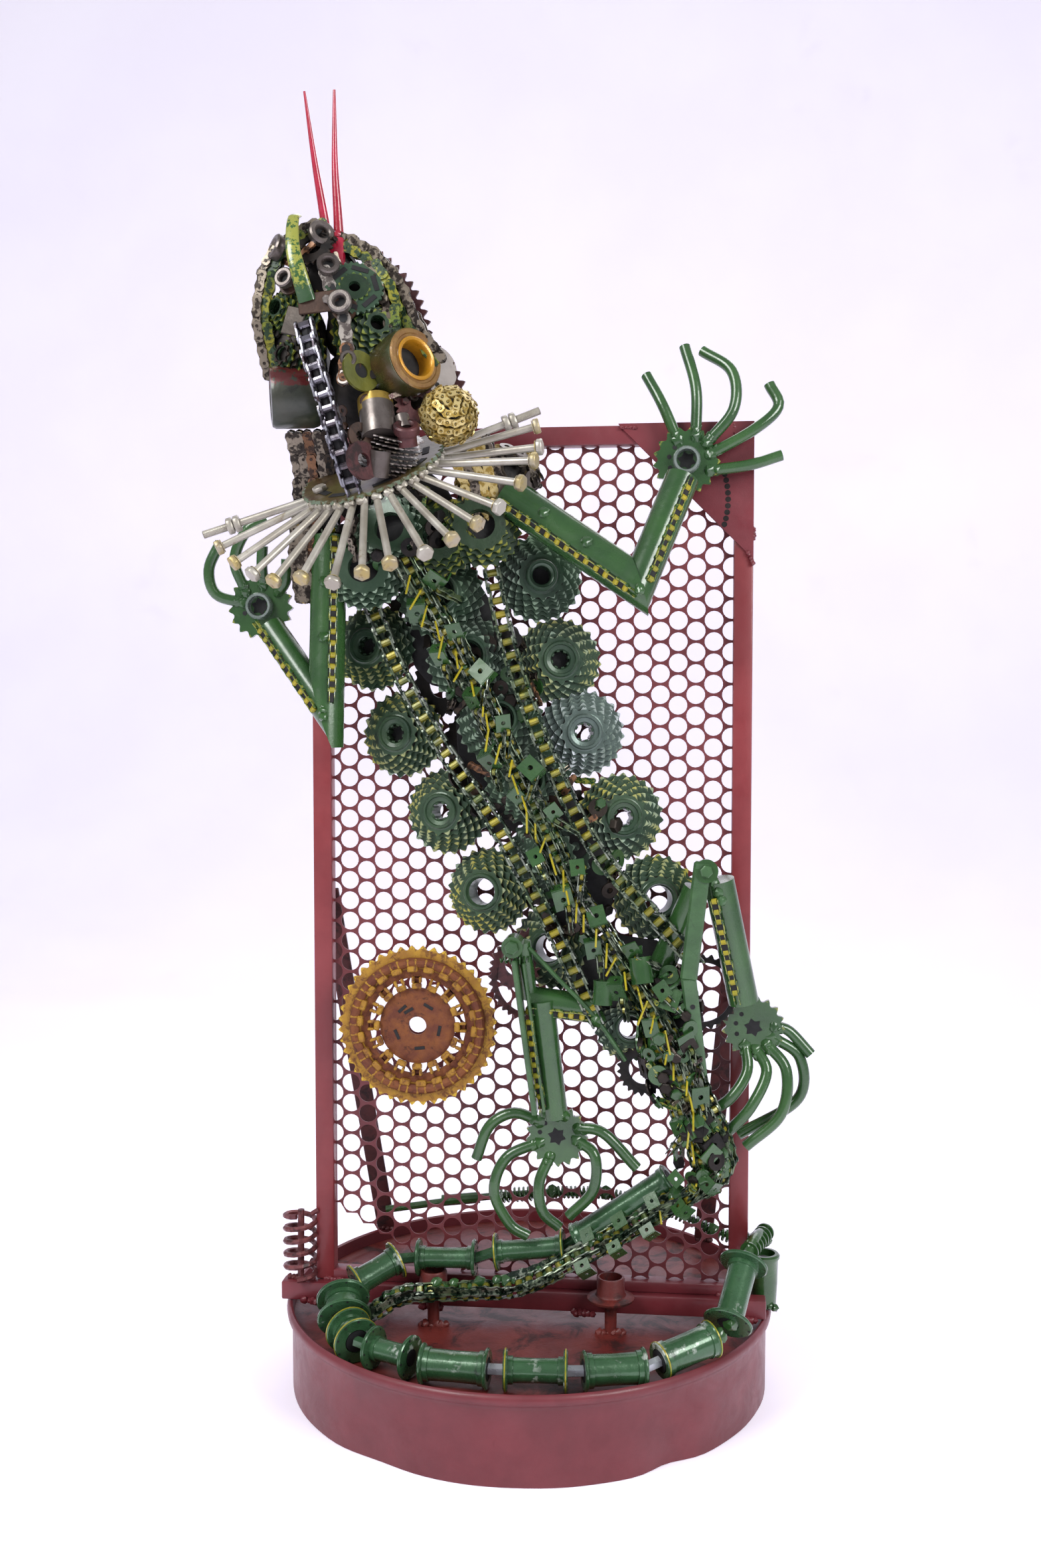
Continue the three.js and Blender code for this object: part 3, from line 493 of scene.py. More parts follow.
# a deeper green coat, its teeth brushed grey-green only, partly as painted highlight
cog_deep = finish("deep_green_cog", "#2c4432", "#3d543f", "#97ab98", "#0c120e", 0.25, 0.3, 70, 9.0, 0.5,
                  0.35, 0.58,
                  second_wear_and_highlight="#86a284")
# the one freewheel brushed with aluminium paint
cog_silver = finish("silvered_cog", "#4a5952", "#5d6d66", "#d2dadd", "#121615", 0.24, 0.55, 50, 6.0, 0.45,
                    0.2, 0.58,
                    second_wear_and_highlight="#7d8f80")
# bare steel under old grease, near black; also used as painted shade in the gaps between cogs and on dark masses
# behind the scrap
grime_and_shade = finish("grimy_steel_and_painted_shade", "#191817", "#241e1a", "#3d3228", "#0b0a0a", 0.45, 0.5, 40, 6.0, 0.5, 0.0, 0.5)
# bores and gaps that are too deep for light
hole_black = finish("deep_hole", "#0b0b0d", "#121214", "#1a1a1c", "#060606", 0.6, 0.0, 20, 3.0, 0.1)
# maroon overspray on bright steel scrap
maroon_scrap = finish("maroon_over_steel", "#47282a", "#5b3434", "#8a7a6a", "#241a1a", 0.38, 0.4, 26, 2.5,
                      0.5, 0.1, 0.5)


# a stamped sprocket with U-shaped gullets; its teeth's tips take the lighter dry-brushed colour, partly as
# painted highlight, and the roots keep the darker coat as painted shade
def cog(teeth, radius, thickness, bore, depth=4.6, rubbing_and_highlight=1.0):
    bm = new_parts()
    wear_and_highlight = bm.verts.layers.float["wear_and_highlight"]
    cut = (0.0, 0.35, 0.85, 1.0, 0.85, 0.35)
    rim = bmesh.ops.create_circle(bm, segments=6 * teeth, radius=radius)["verts"]
    for i, corner in enumerate(rim):
        corner.co *= 1 - cut[i % 6] * depth / radius
        corner[wear_and_highlight] = rubbing_and_highlight * (1.4 - cut[i % 6])
    outer = bm.edges[:]
    root = bmesh.ops.create_circle(bm, segments=6 * teeth, radius=radius - depth - 0.4)["verts"]
    middle = [e for e in bm.edges if e.verts[0] in root and e.verts[1] in root]
    bmesh.ops.create_circle(bm, segments=6 * teeth, radius=bore)
    inner = [e for e in bm.edges if e not in outer and e not in middle]
    bmesh.ops.bridge_loops(bm, edges=outer + middle)
    bmesh.ops.bridge_loops(bm, edges=middle + inner)
    thicken(bm, (0, 0, thickness))
    return shape_from(bm, 0.001)


sheet = 2.4
cogs = [(cog(24 - 2 * k, 51 - 4.36 * k, sheet, 20), 1 + 4.8 * k) for k in range(6)]
spacer = turned([(22, 0), (31, 0), (31, 12), (24.5, 26), (22, 26)], 24, closed=True)


# a whole freewheel on +Z: its body's lip, bore and nose, in one of the cog finishes
def freewheel(lip, bore, nose, tone=0):
    bm = new_parts()
    profile = [(bore, 0), (23, 0), (23, 27), (lip, 28), (lip, nose - 1.5), (lip - 1.2, nose),
               (lip - 3.6, nose),
               (lip - 4.4, nose - 2.5), (bore + 1.2, nose - 3.5), (bore, nose - 5)]
    put(bm, turned(profile, 32, closed=True), tone=tone)
    put(bm, spacer, tone=1)
    for shape, height in cogs:
        put(bm, shape, Matrix.Rotation(height, 4, "Z") @ Matrix.Translation((0, 0, height)), tone)
    return mesh_of(bm)


plain_wheel, wide_wheel, nosed_wheel = freewheel(20.5, 10.5, 31), freewheel(21.5, 15.5, 32), freewheel(18,
        10.5, 36, 2)
silver_wheel = freewheel(20.5, 10.5, 31, 3)
notch = bar((-1.6, -2, 0), (1.6, 2, 20), 0.4, 1)


# one row of freewheels, turned a little outwards and tacked to each other
def row(name, faces, turn_out, kinds):
    for i, ((x, z), kind) in enumerate(zip(faces, kinds), 1):
        axis = Vector((0.22 * turn_out, -0.97, 0.06)).normalized()
        parts = new_parts()
        seat = Vector((x, -102, z)) - axis * 33
        put(parts, kind, stand(seat, axis) @ Matrix.Rotation(i * 1.3, 4, "Z"))
        if kind in (plain_wheel, silver_wheel):
            for k in range(8):
                spoke = Matrix.Rotation(k * math.pi / 4, 4, "Z") @ Matrix.Translation((10.2, 0, 6))
                put(parts, notch, stand(seat, axis) @ spoke)
        # a black disc in the bore of the first wheels: painted shade
        if i < 3:
            put(parts, disc(16, 12, 12.6, 20), stand(seat, axis), 4)
        weld(parts, seat + Vector((18 * turn_out, 0, -30)), seat + Vector((-10 * turn_out, 4, -36)), 5, 1)
        piece(f"{name}_{i}_cogs", parts, cog_finishes, "green_cogs", f"{name}_{i}")


cog_finishes = [cog_green, grime_and_shade, cog_deep, cog_silver, hole_black]
right_faces = [(25, 957), (47, 863), (74, 781), (119, 685), (159, 592)]
left_faces = [(-179, 879), (-146, 779), (-94, 690), (-46, 598), (31, 534)]
middle_faces = [(-92, 935), (-59, 863), (-24, 792), (8, 724), (35, 640)]
row("freewheel_right", right_faces, 1, [nosed_wheel, plain_wheel, silver_wheel, plain_wheel, wide_wheel])
row("freewheel_left", left_faces, -1, [plain_wheel, plain_wheel, plain_wheel, wide_wheel, wide_wheel])
parts = new_parts()
for i, (x, z) in enumerate(middle_faces):
    place = stand((x, -88, z), (0.05, -1, 0.12))
    put(parts, wide_wheel, place @ Matrix.Rotation(i, 4, "Z"), 2)
    # a black disc in the bore: painted shade
    put(parts, disc(16, 14, 14.5, 20), place, 4)
    # dark cogs behind the wheels: painted shade in the gaps between them
    put(parts, cog(20, 40, sheet, 18), stand((x - 34, -74, z - 26), (-0.5, -1, 0)), 1)
    put(parts, cog(18, 38, sheet, 16), stand((x + 36, -72, z - 40), (0.5, -1, 0)), 1)
piece("freewheels_middle_cogs", parts, cog_finishes, "green_cogs", "freewheels_middle")
parts = new_parts()
put(parts, wide_wheel, stand((124, -84, 444), (0.1, -1, 0.1), size=0.8))
put(parts, cog(24, 44, sheet, 30), stand((160, -100, 470), (1, -0.5, 0.1)), 1)
put(parts, cog(22, 40, sheet, 26), stand((170, -100, 462), (1, -0.5, 0.1)), 1)
put(parts, cog(26, 44, sheet, 34), stand((207, -92, 486), (0.2, -1, 0)), 1)
piece("freewheel_hip_cogs", parts, cog_finishes, "green_cogs", "freewheel_hip")

# ---- Chains of the trunk -------------------------------------------------------------------------
# Motorcycle chain of 15.9 mm pitch down both flanks, laid with its rollers to the front.
# Plates are green rubbed to bright steel on their edges; the rollers are yellow, green or bare.
# green enamel rubbed off the edges of oily chain plates
chain_plate = finish("rubbed_green_plate", "#16241b", "#213626", "#8d9488", "#0c0f0d", 0.22, 0.6, 60, 9.0,
                     0.4, 0.2, 0.56,
                     second_wear_and_highlight="#5d6f4c")
# rollers picked out in yellow, partly worn off
roller_yellow = finish("yellow_roller_paint", "#948820", "#46562a", "#c9c6a8", "#23241a", 0.25, 0.45, 40,
                       6.0, 0.4, 0.3,
                       0.6)


# two pitches of roller chain: an outer and an inner link, X along the chain and Z to the front
def chain_unit(pitch, width, height, roller, thickness=1.6):
    bm = new_parts()
    wear_and_highlight = bm.verts.layers.float["wear_and_highlight"]
    flat = bmesh.new()
    for x, start in ((0, 90), (pitch, -90)):
        for k in range(5):
            angle = math.radians(start + 45 * k)
            flat.verts.new((x + height / 2 * math.cos(angle), 0, height / 2 * math.sin(angle)))
        flat.verts.new((pitch / 2, 0, -height * 0.38 if x == 0 else height * 0.38))
    flat.faces.new(flat.verts)
    thicken(flat, (0, thickness, 0))
    plate = shape_from(flat)
    across = Matrix.Rotation(math.pi / 2, 4, "X")
    barrel = shape_from(plug(roller, width - 4 * thickness, 10, across))
    pin = shape_from(plug(roller * 0.42, width + 1.5, 6, across))
    for y in (-width / 2, width / 2 - thickness):
        put(bm, plate, Matrix.Translation((0, y, 0)), 0)
    for y in (-width / 2 + thickness + 0.3, width / 2 - 2 * thickness - 0.3):
        put(bm, plate, Matrix.Translation((pitch, y, 0)), 0)
    for corner in bm.verts:
        corner[wear_and_highlight] = 0.8 if abs(corner.co.z) > height * 0.3 else 0.0
    for x in (0, pitch):
        put(bm, barrel, Matrix.Translation((x, 0, 0)), 1)
        put(bm, pin, Matrix.Translation((x, 0, 0)), 0)
    return mesh_of(bm)


motor_pitch, cycle_pitch = 15.875, 12.7
motor_chain = chain_unit(motor_pitch, 19.5, 12.5, 4.2, 2.0)
arm_chain = chain_unit(cycle_pitch, 9, 4.6, 3.3, 0.9)
cycle_chain = chain_unit(cycle_pitch, 8, 8.6, 3.9, 1.1)
wide_chain = chain_unit(cycle_pitch, 13, 11.5, 4.2, 1.5)


# lays chain on a smooth route, its rollers turned towards `out`
def lay(parts, route, unit, pitch, out=FRONT, sway=0.0):
    places = along(route, pitch)
    for i in range(0, len(places) - 1, 2):
        at = places[i][0]
        way = (places[i + 1][0] - at).normalized()
        up = Vector(out)
        up = (up - way * way.dot(up)).normalized()
        if sway:
            up = Matrix.Rotation(dice.uniform(-sway, sway), 3, way) @ up
        put(parts, unit, stand(at, up, way))


right_flank = [(-41, -118, 1020), (-16, -118, 897), (13, -118, 806), (50, -118, 718), (90, -118, 647),
               (150, -118, 578), (190, -118, 535)]
left_flank = [(-212, -124, 1008), (-203, -118, 985), (-175, -118, 942), (-140, -118, 859),
              (-101, -118, 787), (-67, -118, 736),
              (-27, -118, 679), (15, -118, 605), (55, -118, 527), (89, -118, 455)]
for name, route in (("side_chain_right", right_flank), ("side_chain_left", left_flank)):
    parts = new_parts()
    lay(parts, route, motor_chain, motor_pitch)
    piece(name + "_links", parts, [chain_plate, roller_yellow], "green_enamel", name)

# ---- Spine ---------------------------------------------------------------------------------------
# Cycle chain in tangled runs from the nape to the tail, with pairs of punched angle tabs for scales
# and short nails for spines. Thick green enamel, with yellow picked out on the nails.
# thick brushed green enamel, glossy, with a little yellow where it is dry-brushed
enamel = finish("thick_green_enamel", "#284a25", "#33582b", "#8f9340", "#151f14", 0.15, 0.05, 55, 5.0,
                0.3, 0.55, 0.66)
# yellow enamel on the nails
nail_yellow = finish("yellow_nail_paint", "#b5a41c", "#a39a2a", "#c9c08a", "#5a5a20", 0.3, 0.0, 20, 3.0,
                     0.2, 0.2)


# a flat tab with a punched hole
def tab(wide, tall, hole_radius):
    bm = bmesh.new()
    bmesh.ops.create_circle(bm, segments=12, radius=hole_radius)
    x, y = wide / 2, tall / 2
    corners = [bm.verts.new(p) for p in ((x, y, 0), (-x, y, 0), (-x, -y, 0), (x, -y, 0))]
    sides = [bm.edges.new((corners[i], corners[(i + 1) % 4])) for i in range(4)]
    bmesh.ops.subdivide_edges(bm, edges=sides, cuts=2)
    bmesh.ops.bridge_loops(bm, edges=bm.edges[:])
    thicken(bm, (0, 0, 2))
    return shape_from(bm)


angle_tab = new_parts()
put(angle_tab, tab(22, 24, 3.2))
put(angle_tab, tab(22, 16, 3.0), Matrix.Translation((0, -11, -7)) @ Matrix.Rotation(math.pi / 2, 4, "X"))
angle_mesh = mesh_of(angle_tab)
spine = [(-122, -150, 970), (-90, -142, 912), (-53, -138, 844), (22, -135, 691), (59, -135, 611),
         (105, -135, 541), (157, -132, 461), (191, -124, 385), (198, -120, 335), (220, -108, 292)]
parts = new_parts()
lay(parts, spine, wide_chain, cycle_pitch, FRONT, 0.35)
for shift, out in ((-11, (-0.8, -0.6, 0)), (10, (0.8, -0.7, 0))):
    lay(parts, [(x + shift, y + 4, z + shift * 0.3) for x, y, z in spine], cycle_chain, cycle_pitch, out,
        0.5)
for k, (at, way) in enumerate(along(spine, 30)[1:-2]):
    side = -1 if k % 2 else 1
    across = way.cross(FRONT).normalized() * -side
    spot = at + across * dice.uniform(10, 22) + Vector((0, dice.uniform(-12, -4), dice.uniform(-8, 8)))
    face = FRONT + across * dice.uniform(-0.5, 0.8) + Vector((0, 0, dice.uniform(-0.9, 0.5)))
    put(parts, angle_mesh, stand(spot, face, across + way * dice.uniform(-0.5, 0.5),
                                 dice.uniform(0.7, 1.0)), 2)
    put(parts, cycle_chain, stand(spot + way * 12, face, way + across * dice.uniform(-0.9, 0.9)))
for at, _ in along(spine, 19)[1:-2]:
    lean = Vector((dice.uniform(-0.35, 0.35), -0.75, dice.uniform(-1.1, -0.5))).normalized()
    root = at + Vector((dice.uniform(-7, 7), -6, 0))
    put(parts, rod([root, root + lean * dice.uniform(20, 34)], 1.2, 6, 20), tone=3)
# the runs crowd together where the back meets the tail
bend = [(170, -130, 432), (190, -128, 376), (210, -124, 330), (220, -118, 292), (204, -112, 262),
        (170, -110, 240)]
for shift, unit in ((-22, cycle_chain), (-12, wide_chain), (0, wide_chain), (11, cycle_chain),
                    (21, wide_chain)):
    lay(parts, [(x + shift * 0.9, y + abs(shift) * 0.3, z + shift * 0.4) for x, y, z in bend], unit,
        cycle_pitch,
        (shift / 30, -1, 0), 0.5)
for at, _ in along(bend, 7):
    put(parts, lumps[dice.randrange(4)],
        stand(at + Vector((dice.uniform(-16, 16), 10, dice.uniform(-6, 6))), size=11), 2)
for at, _ in along(spine, 9):
    put(parts, lumps[dice.randrange(4)],
        stand(at + Vector((dice.uniform(-9, 9), 6, 0)), size=dice.uniform(4, 8)), 2)
weld(parts, (196, -118, 345), (222, -108, 288), 9, 2)
piece("spine_scales_and_nails", parts, [chain_plate, roller_yellow, enamel, nail_yellow], "green_enamel",
      "spine_chain")

# ---- Arms ----------------------------------------------------------------------------------------
# Round tube of 32 to 44 mm, mitred and welded at the elbows, with cycle chain along each seam.
# Brushed with thick green enamel that runs and pools at the welds; the chain's rollers are yellow.
# yellow paint on the rollers of the seams
arm_roller = finish("yellow_arm_roller", "#a8991f", "#8c8a2a", "#c0b84a", "#2a2c18", 0.3, 0.2, 60, 9.0,
                    0.3, 0.2, 0.66)


# a capped round tube, cut by planes given as (point, normal towards the waste)
def tube(start, end, radius, cuts=(), sides=32):
    start, end = Vector(start), Vector(end)
    bm = plug(radius, (end - start).length, sides, stand((start + end) / 2, end - start))
    for at, away in cuts:
        cut_off(bm, at, away)
        bmesh.ops.holes_fill(bm, edges=bm.edges[:], sides=0)
    return shape_from(bm)


# an arm: two mitred tubes with a chain along the seam of each, cut level below the elbow
def limb(name, shoulder, elbow, wrist, radius, fore_radius, nodes, chain_side, tip):
    shoulder, elbow, wrist = Vector(shoulder), Vector(elbow), Vector(wrist)
    down, out = (elbow - shoulder).normalized(), (wrist - elbow).normalized()
    mitre = (down + out).normalized()
    parts = new_parts()
    foot = ((0, 0, tip), -UP)
    put(parts, tube(shoulder, elbow + down * 3 * radius, radius, [(elbow, mitre), foot]))
    put(parts, tube(elbow - out * 3 * radius, wrist, fore_radius, [(elbow, -mitre), foot]))
    weld(parts, elbow + mitre.orthogonal().normalized() * 10 + FRONT * radius * 0.8,
         elbow - mitre.orthogonal().normalized() * 10 + FRONT * radius * 0.9, 5)
    for start, end, r, way in ((shoulder, elbow, radius, down), (elbow, wrist, fore_radius, out)):
        side = way.cross(FRONT).normalized() * chain_side
        lift = (FRONT * math.cos(0.5) + side * math.sin(0.5)).normalized()
        lift = (lift - way * way.dot(lift)).normalized()
        seam = [start.lerp(end, t) + lift * (r + 1.2) for t in (0.03, 0.5, 0.97)]
        # a black strap under the chain: painted shade between its links
        put(parts, *strap(seam[0], seam[2], 8, 1.6, lift, 0.2), 2)
        lay(parts, seam, arm_chain, cycle_pitch, lift)
    for t in (0.3, 0.62):
        at = shoulder.lerp(elbow, t) + FRONT * radius * 0.95 + Vector((0, 2, 6))
        put(parts, lumps[1], stand(at, size=7))
    bmesh.ops.recalc_face_normals(parts, faces=parts.faces)
    piece(name, parts, [enamel, arm_roller, hole_black], "green_enamel", *nodes)


limb("arm_right_tubes", (-13, -125, 1044), (135, -150, 941), (181, -104, 1062), 22, 19,
     ("upper_arm_right", "forearm_right"), 1, 900)
limb("arm_left_tubes", (-214, -122, 1000), (-213, -146, 806), (-285, -114, 900), 20, 16,
     ("upper_arm_left", "forearm_left"), -1, 764)

# ---- Hands and feet ------------------------------------------------------------------------------
# Small sprockets with a splined hole, and four or five 13 mm rods bent into hooked digits.
# Green enamel all over; the hands have a bearing ring round the hole, rubbed back to steel.
# a bearing ring rubbed back to grey steel
ring_steel = finish("bared_ring_steel", "#7f8d84", "#9aa6a0", "#d5dcda", "#27332a", 0.18, 0.6, 18, 5.0,
                    0.3, 0.3, 0.6)
star = new_parts()
star_rim = bmesh.ops.create_circle(star, cap_ends=True, segments=12, radius=9.3)["verts"]
for i, corner in enumerate(star_rim):
    corner.co *= 1.0 if i % 2 else 0.66
star_hole = shape_from(star)


# a hand or foot: a cog with a splined hole, and digits welded round it
def grip(name, node, centre, radius, digits, ringed=False):
    parts = new_parts()
    seat = Vector(centre) + Vector((0, 7, 0))
    put(parts, cog(17, radius, 6.5, 4, 5.6, 0.5), stand(seat, FRONT))
    put(parts, star_hole, stand(seat + Vector((0, -7, 0)), FRONT, size=1.15), 1)
    if ringed:
        put(parts, turned([(11, 0), (15.5, 0), (15.5, 9), (14, 11.6), (11.6, 11.6), (11, 10)], 28,
                          closed=True),
            stand(seat + Vector((0, -6, 0)), FRONT), 2)
    for angle in (40, 160, 280):
        spot = seat + Vector((20 * math.cos(angle), -6.7, 20 * math.sin(angle)))
        put(parts, dot, stand(spot, FRONT, size=0.8), 1)
    for route in digits:
        put(parts, rod(route, 6.4, 14, 5), tone=0)
        put(parts, lumps[dice.randrange(4)], stand(route[0], size=8), 0)
        way = (Vector(route[1]) - Vector(route[0])).normalized()
        put(parts, lumps[dice.randrange(4)], stand(Vector(route[0]) + way * 8, size=7), 0)
    piece(name, parts, [enamel, hole_black, ring_steel], "green_enamel", node)


grip("hand_right_rods", "hand_right", (186, -82, 1085), 38, [
    [(176, -78, 1108), (158, -74, 1150), (140, -60, 1185)],
    [(196, -78, 1112), (196, -76, 1165), (183, -60, 1216)],
    [(208, -80, 1104), (238, -78, 1142), (236, -66, 1186), (203, -50, 1213)],
    [(212, -78, 1092), (262, -74, 1120), (288, -66, 1146), (278, -60, 1172)],
    [(212, -78, 1074), (256, -74, 1080), (292, -70, 1091)]], True)
grip("hand_left_rods", "hand_left", (-299, -106, 924), 38, [
    [(-318, -102, 928), (-350, -108, 938), (-357, -112, 966), (-343, -112, 997)],
    [(-316, -102, 940), (-328, -108, 976), (-312, -112, 1010), (-288, -112, 1023)],
    [(-296, -102, 948), (-296, -108, 970), (-294, -112, 992)],
    [(-278, -102, 940), (-268, -108, 954), (-266, -112, 977)]], True)
grip("foot_right_rods", "foot_right", (265, -84, 445), 36, [
    [(256, -80, 424), (258, -92, 396), (240, -100, 368), (217, -95, 350)],
    [(268, -80, 420), (280, -92, 396), (262, -102, 358), (236, -98, 327)],
    [(280, -80, 426), (302, -90, 398), (296, -98, 350), (257, -95, 311)],
    [(286, -78, 434), (318, -76, 410), (316, -76, 362), (249, -80, 320)],
    [(288, -78, 446), (306, -76, 440), (330, -80, 415)]])
grip("foot_left_rods", "foot_left", (42, -96, 316), 36, [
    [(22, -92, 332), (-8, -96, 342), (-36, -98, 326), (-51, -98, 288)],
    [(22, -92, 308), (-16, -98, 290), (-30, -102, 252), (-12, -102, 214), (9, -100, 200)],
    [(34, -92, 292), (22, -100, 262), (26, -102, 230), (45, -98, 211)],
    [(64, -92, 312), (86, -100, 296), (84, -102, 256), (56, -98, 224)],
    [(66, -92, 326), (96, -98, 322), (134, -98, 283)]])

# ---- Right leg -----------------------------------------------------------------------------------
# A crank arm for the thigh, bolted at the knee to a tube shin with a chain seam; a short tube behind.
# Green enamel, brushed thin on the crank so that bare forging shows in streaks.
# green enamel brushed thin over a forged crank
thin_enamel = finish("thin_green_enamel", "#32522f", "#40643b", "#93a088", "#1c2a1a", 0.22, 0.15, 30, 3.0,
                     0.35, 0.3,
                     0.62)
parts = new_parts()
put(parts, tube((224, -124, 618), (253, -102, 478), 17))
put(parts, tube((150, -92, 490), (200, -110, 606), 15))
seam = [Vector((219, -142, 596)), Vector((232, -130, 540)), Vector((243, -121, 492))]
# a black strap under the chain: painted shade between its links
put(parts, *strap(seam[0], seam[2], 8, 1.6, (-0.25, -1, 0.1), 0.2), 3)
lay(parts, seam, arm_chain, cycle_pitch, (-0.25, -1, 0.1))
put(parts, tube((210, -116, 627), (210, -150, 630), 13), tone=0)
put(parts, nut_head, stand((210, -150, 630), FRONT, size=0.9), 2)
put(parts, *strap((206, -146, 640), (191, -142, 508), 19, 8, FRONT, 2.5), 2)
put(parts, *strap((191, -142, 512), (205, -116, 392), 17, 7, FRONT, 2.5), 2)
put(parts, dot, stand((196, -138.6, 478), FRONT, size=0.9), 3)
weld(parts, (218, -134, 614), (226, -138, 596), 6, 2)
piece("leg_right_crank_and_tube", parts, [enamel, arm_roller, thin_enamel, hole_black], "green_enamel",
      "shin_right", "thigh_right")

# ---- Left leg ------------------------------------------------------------------------------------
# Two tubes welded in an L with chain in the corner, a brake lever channel beside them and its rod.
# The same thick green enamel, with runs on the underside of the level tube.
parts = new_parts()
put(parts, tube((10, -110, 476), (90, -104, 466), 16.5))
put(parts, tube((27, -118, 478), (42, -108, 342), 14))
# a black strap under the chain: painted shade between its links
put(parts, *strap((12, -127, 468), (74, -120, 461), 9, 1.6, FRONT, 0.2), 3)
lay(parts, [(12, -128, 468), (46, -124, 464), (72, -121, 461)], arm_chain, cycle_pitch, (0, -1, -0.3))
# a black strap under the chain: painted shade between its links
put(parts, *strap((14, -133, 456), (28, -123, 356), 9, 1.6, FRONT, 0.2), 3)
lay(parts, [(14, -134, 456), (20, -130, 406), (28, -124, 358)], arm_chain, cycle_pitch, (-0.3, -1, 0))
put(parts, *strap((-2, -140, 528), (20, -126, 350), 6, 20, FRONT, 1.5), 2)
put(parts, *strap((8, -136, 524), (30, -122, 352), 4, 12, FRONT, 1.0), 0)
put(parts, rod([(13, -132, 540), (48, -126, 502), (85, -120, 463), (121, -112, 410)], 2.6, 8, 10),
    tone=2)
put(parts, tube((-4, -118, 542), (-4, -148, 542), 12))
put(parts, nut_head, stand((-4, -148, 542), FRONT), 2)
put(parts, rod([(6, -128, 546), (10, -120, 508), (12, -112, 480)], 9, 12, 10), tone=0)
put(parts, coil((-18, -132, 528), (14, -132, 524), 5, 1.3, 6), tone=0)
weld(parts, (30, -112, 346), (52, -112, 344), 6)
weld(parts, (84, -112, 476), (88, -116, 456), 8)
piece("leg_left_tubes_and_lever", parts, [enamel, arm_roller, thin_enamel, hole_black], "green_enamel",
      "shin_left", "thigh_left")

# ---- Big chainring --------------------------------------------------------------------------------
# A 44-tooth chainring with a ring of clipped teeth and a slotted disc welded to its face: a sun.
# Rusted steel with mustard paint brushed over the raised parts.
# scaly red-brown rust
rust = finish("scaly_rust", "#5f2f1c", "#7a461f", "#b08a24", "#3f2118", 0.55, 0.2, 16, 2.2, 0.9, 0.0, 0.55)
# mustard paint brushed over the rust
mustard = finish("mustard_over_rust", "#a87f22", "#8f6420", "#c2a02c", "#5a3018", 0.5, 0.15, 14, 2.5, 0.9,
                 0.0, 0.5)
ring_at = Vector((-119, -98, 442))
parts = new_parts()
put(parts, cog(44, 93, 4, 66, 5.5), stand(ring_at, FRONT), 1)
ridge = [(68, 0), (79, 0), (79, 4), (76.5, 7), (73, 7.5), (69.5, 6), (68, 4)]
put(parts, turned(ridge, 72, closed=True), stand(ring_at + Vector((0, -3, 0)), FRONT), 0)
block = new_parts()
put(block, bar((-4.8, -5.5, 0), (4.8, 0, 6), 1.0, 1))
put(block, bar((-5, 0, 0), (-2.4, 6.5, 6), 0.8, 1))
put(block, bar((2.4, 0, 0), (5, 6.5, 6), 0.8, 1))
notched_block = shape_from(block)
for count, radius, size in ((22, 70, 1.25), (16, 50, 1.15)):
    for k in range(count):
        angle = 2 * math.pi * k / count
        around = Matrix.Rotation(angle, 4, "Z") @ Matrix.Translation((radius, 0, 3)) @ Matrix.Rotation(
            -math.pi / 2, 4, "Z") @ Matrix.Scale(size, 4)
        put(parts, notched_block, stand(ring_at, FRONT) @ around, 1)
put(parts, disc(66, 0, 3.4, 60, 56), stand(ring_at, FRONT), 0)
put(parts, turned([(10.5, 0), (44, 0), (44, 3), (40, 4), (10.5, 4)], 48, closed=True),
    stand(ring_at, FRONT), 0)
for k in range(8):
    angle = 2 * math.pi * k / 8
    arm_at = ring_at + Vector((50 * math.cos(angle), -0.4, 50 * math.sin(angle)))
    put(parts, bar((-8, -4, 0), (8, 4, 3), 0.8, 1), stand(arm_at, FRONT, arm_at - ring_at), 0)
for k, (radius, angle) in enumerate(((26, 60), (26, 132), (26, 204), (26, 276), (26, 348), (20, 120))):
    slot_at = ring_at + Vector((radius * math.cos(math.radians(angle)), -4.1,
                                radius * math.sin(math.radians(angle))))
    put(parts, bar((-6, -1.8, 0), (6, 1.8, 0.6), 0.2, 1),
        stand(slot_at, FRONT, (slot_at - ring_at).cross(FRONT)), 2)
weld(parts, ring_at + Vector((66, -2, 40)), ring_at + Vector((72, -2, 28)), 4)
piece("chainring_sun", parts, [rust, mustard, hole_black], "yellow_rust", "chainring_yellow", sharp=30)

# ---- Small chainring ------------------------------------------------------------------------------
# A small sprocket on a larger thin ring, half hidden behind the left knee.
# Maroon overspray with bright steel at the teeth.
parts = new_parts()
put(parts, cog(18, 30, 3.5, 12, 4.4, 0.4), stand((-6, -91, 513), FRONT))
put(parts, cog(40, 56, 3, 46, 4.0, 0.4), stand((16, -80, 500), (0.3, -1, 0)))
piece("chainring_maroon", parts, [maroon_scrap], "maroon_paint", "chainring_small")

# ---- Bolt collar ---------------------------------------------------------------------------------
# A chainring round the neck, with long hexagon bolts welded under its front edge as a frill.
# Zinc-plated bolts gone dull, their heads yellowed; the ring has olive paint over brown rust.
# dull zinc plate on the bolts
zinc = finish("dull_zinc_plate", "#bdb9ae", "#a39d90", "#d8d4c6", "#7a6a4c", 0.32, 0.55, 40, 6.0, 0.25,
              0.0, 0.6)
# bolt heads whose zinc has yellowed
yellow_head = finish("yellowed_zinc_head", "#b3a16a", "#a59c88", "#cfc6a0", "#6d5326", 0.34, 0.55, 16,
                     2.5, 0.4, 0.0,
                     0.56)
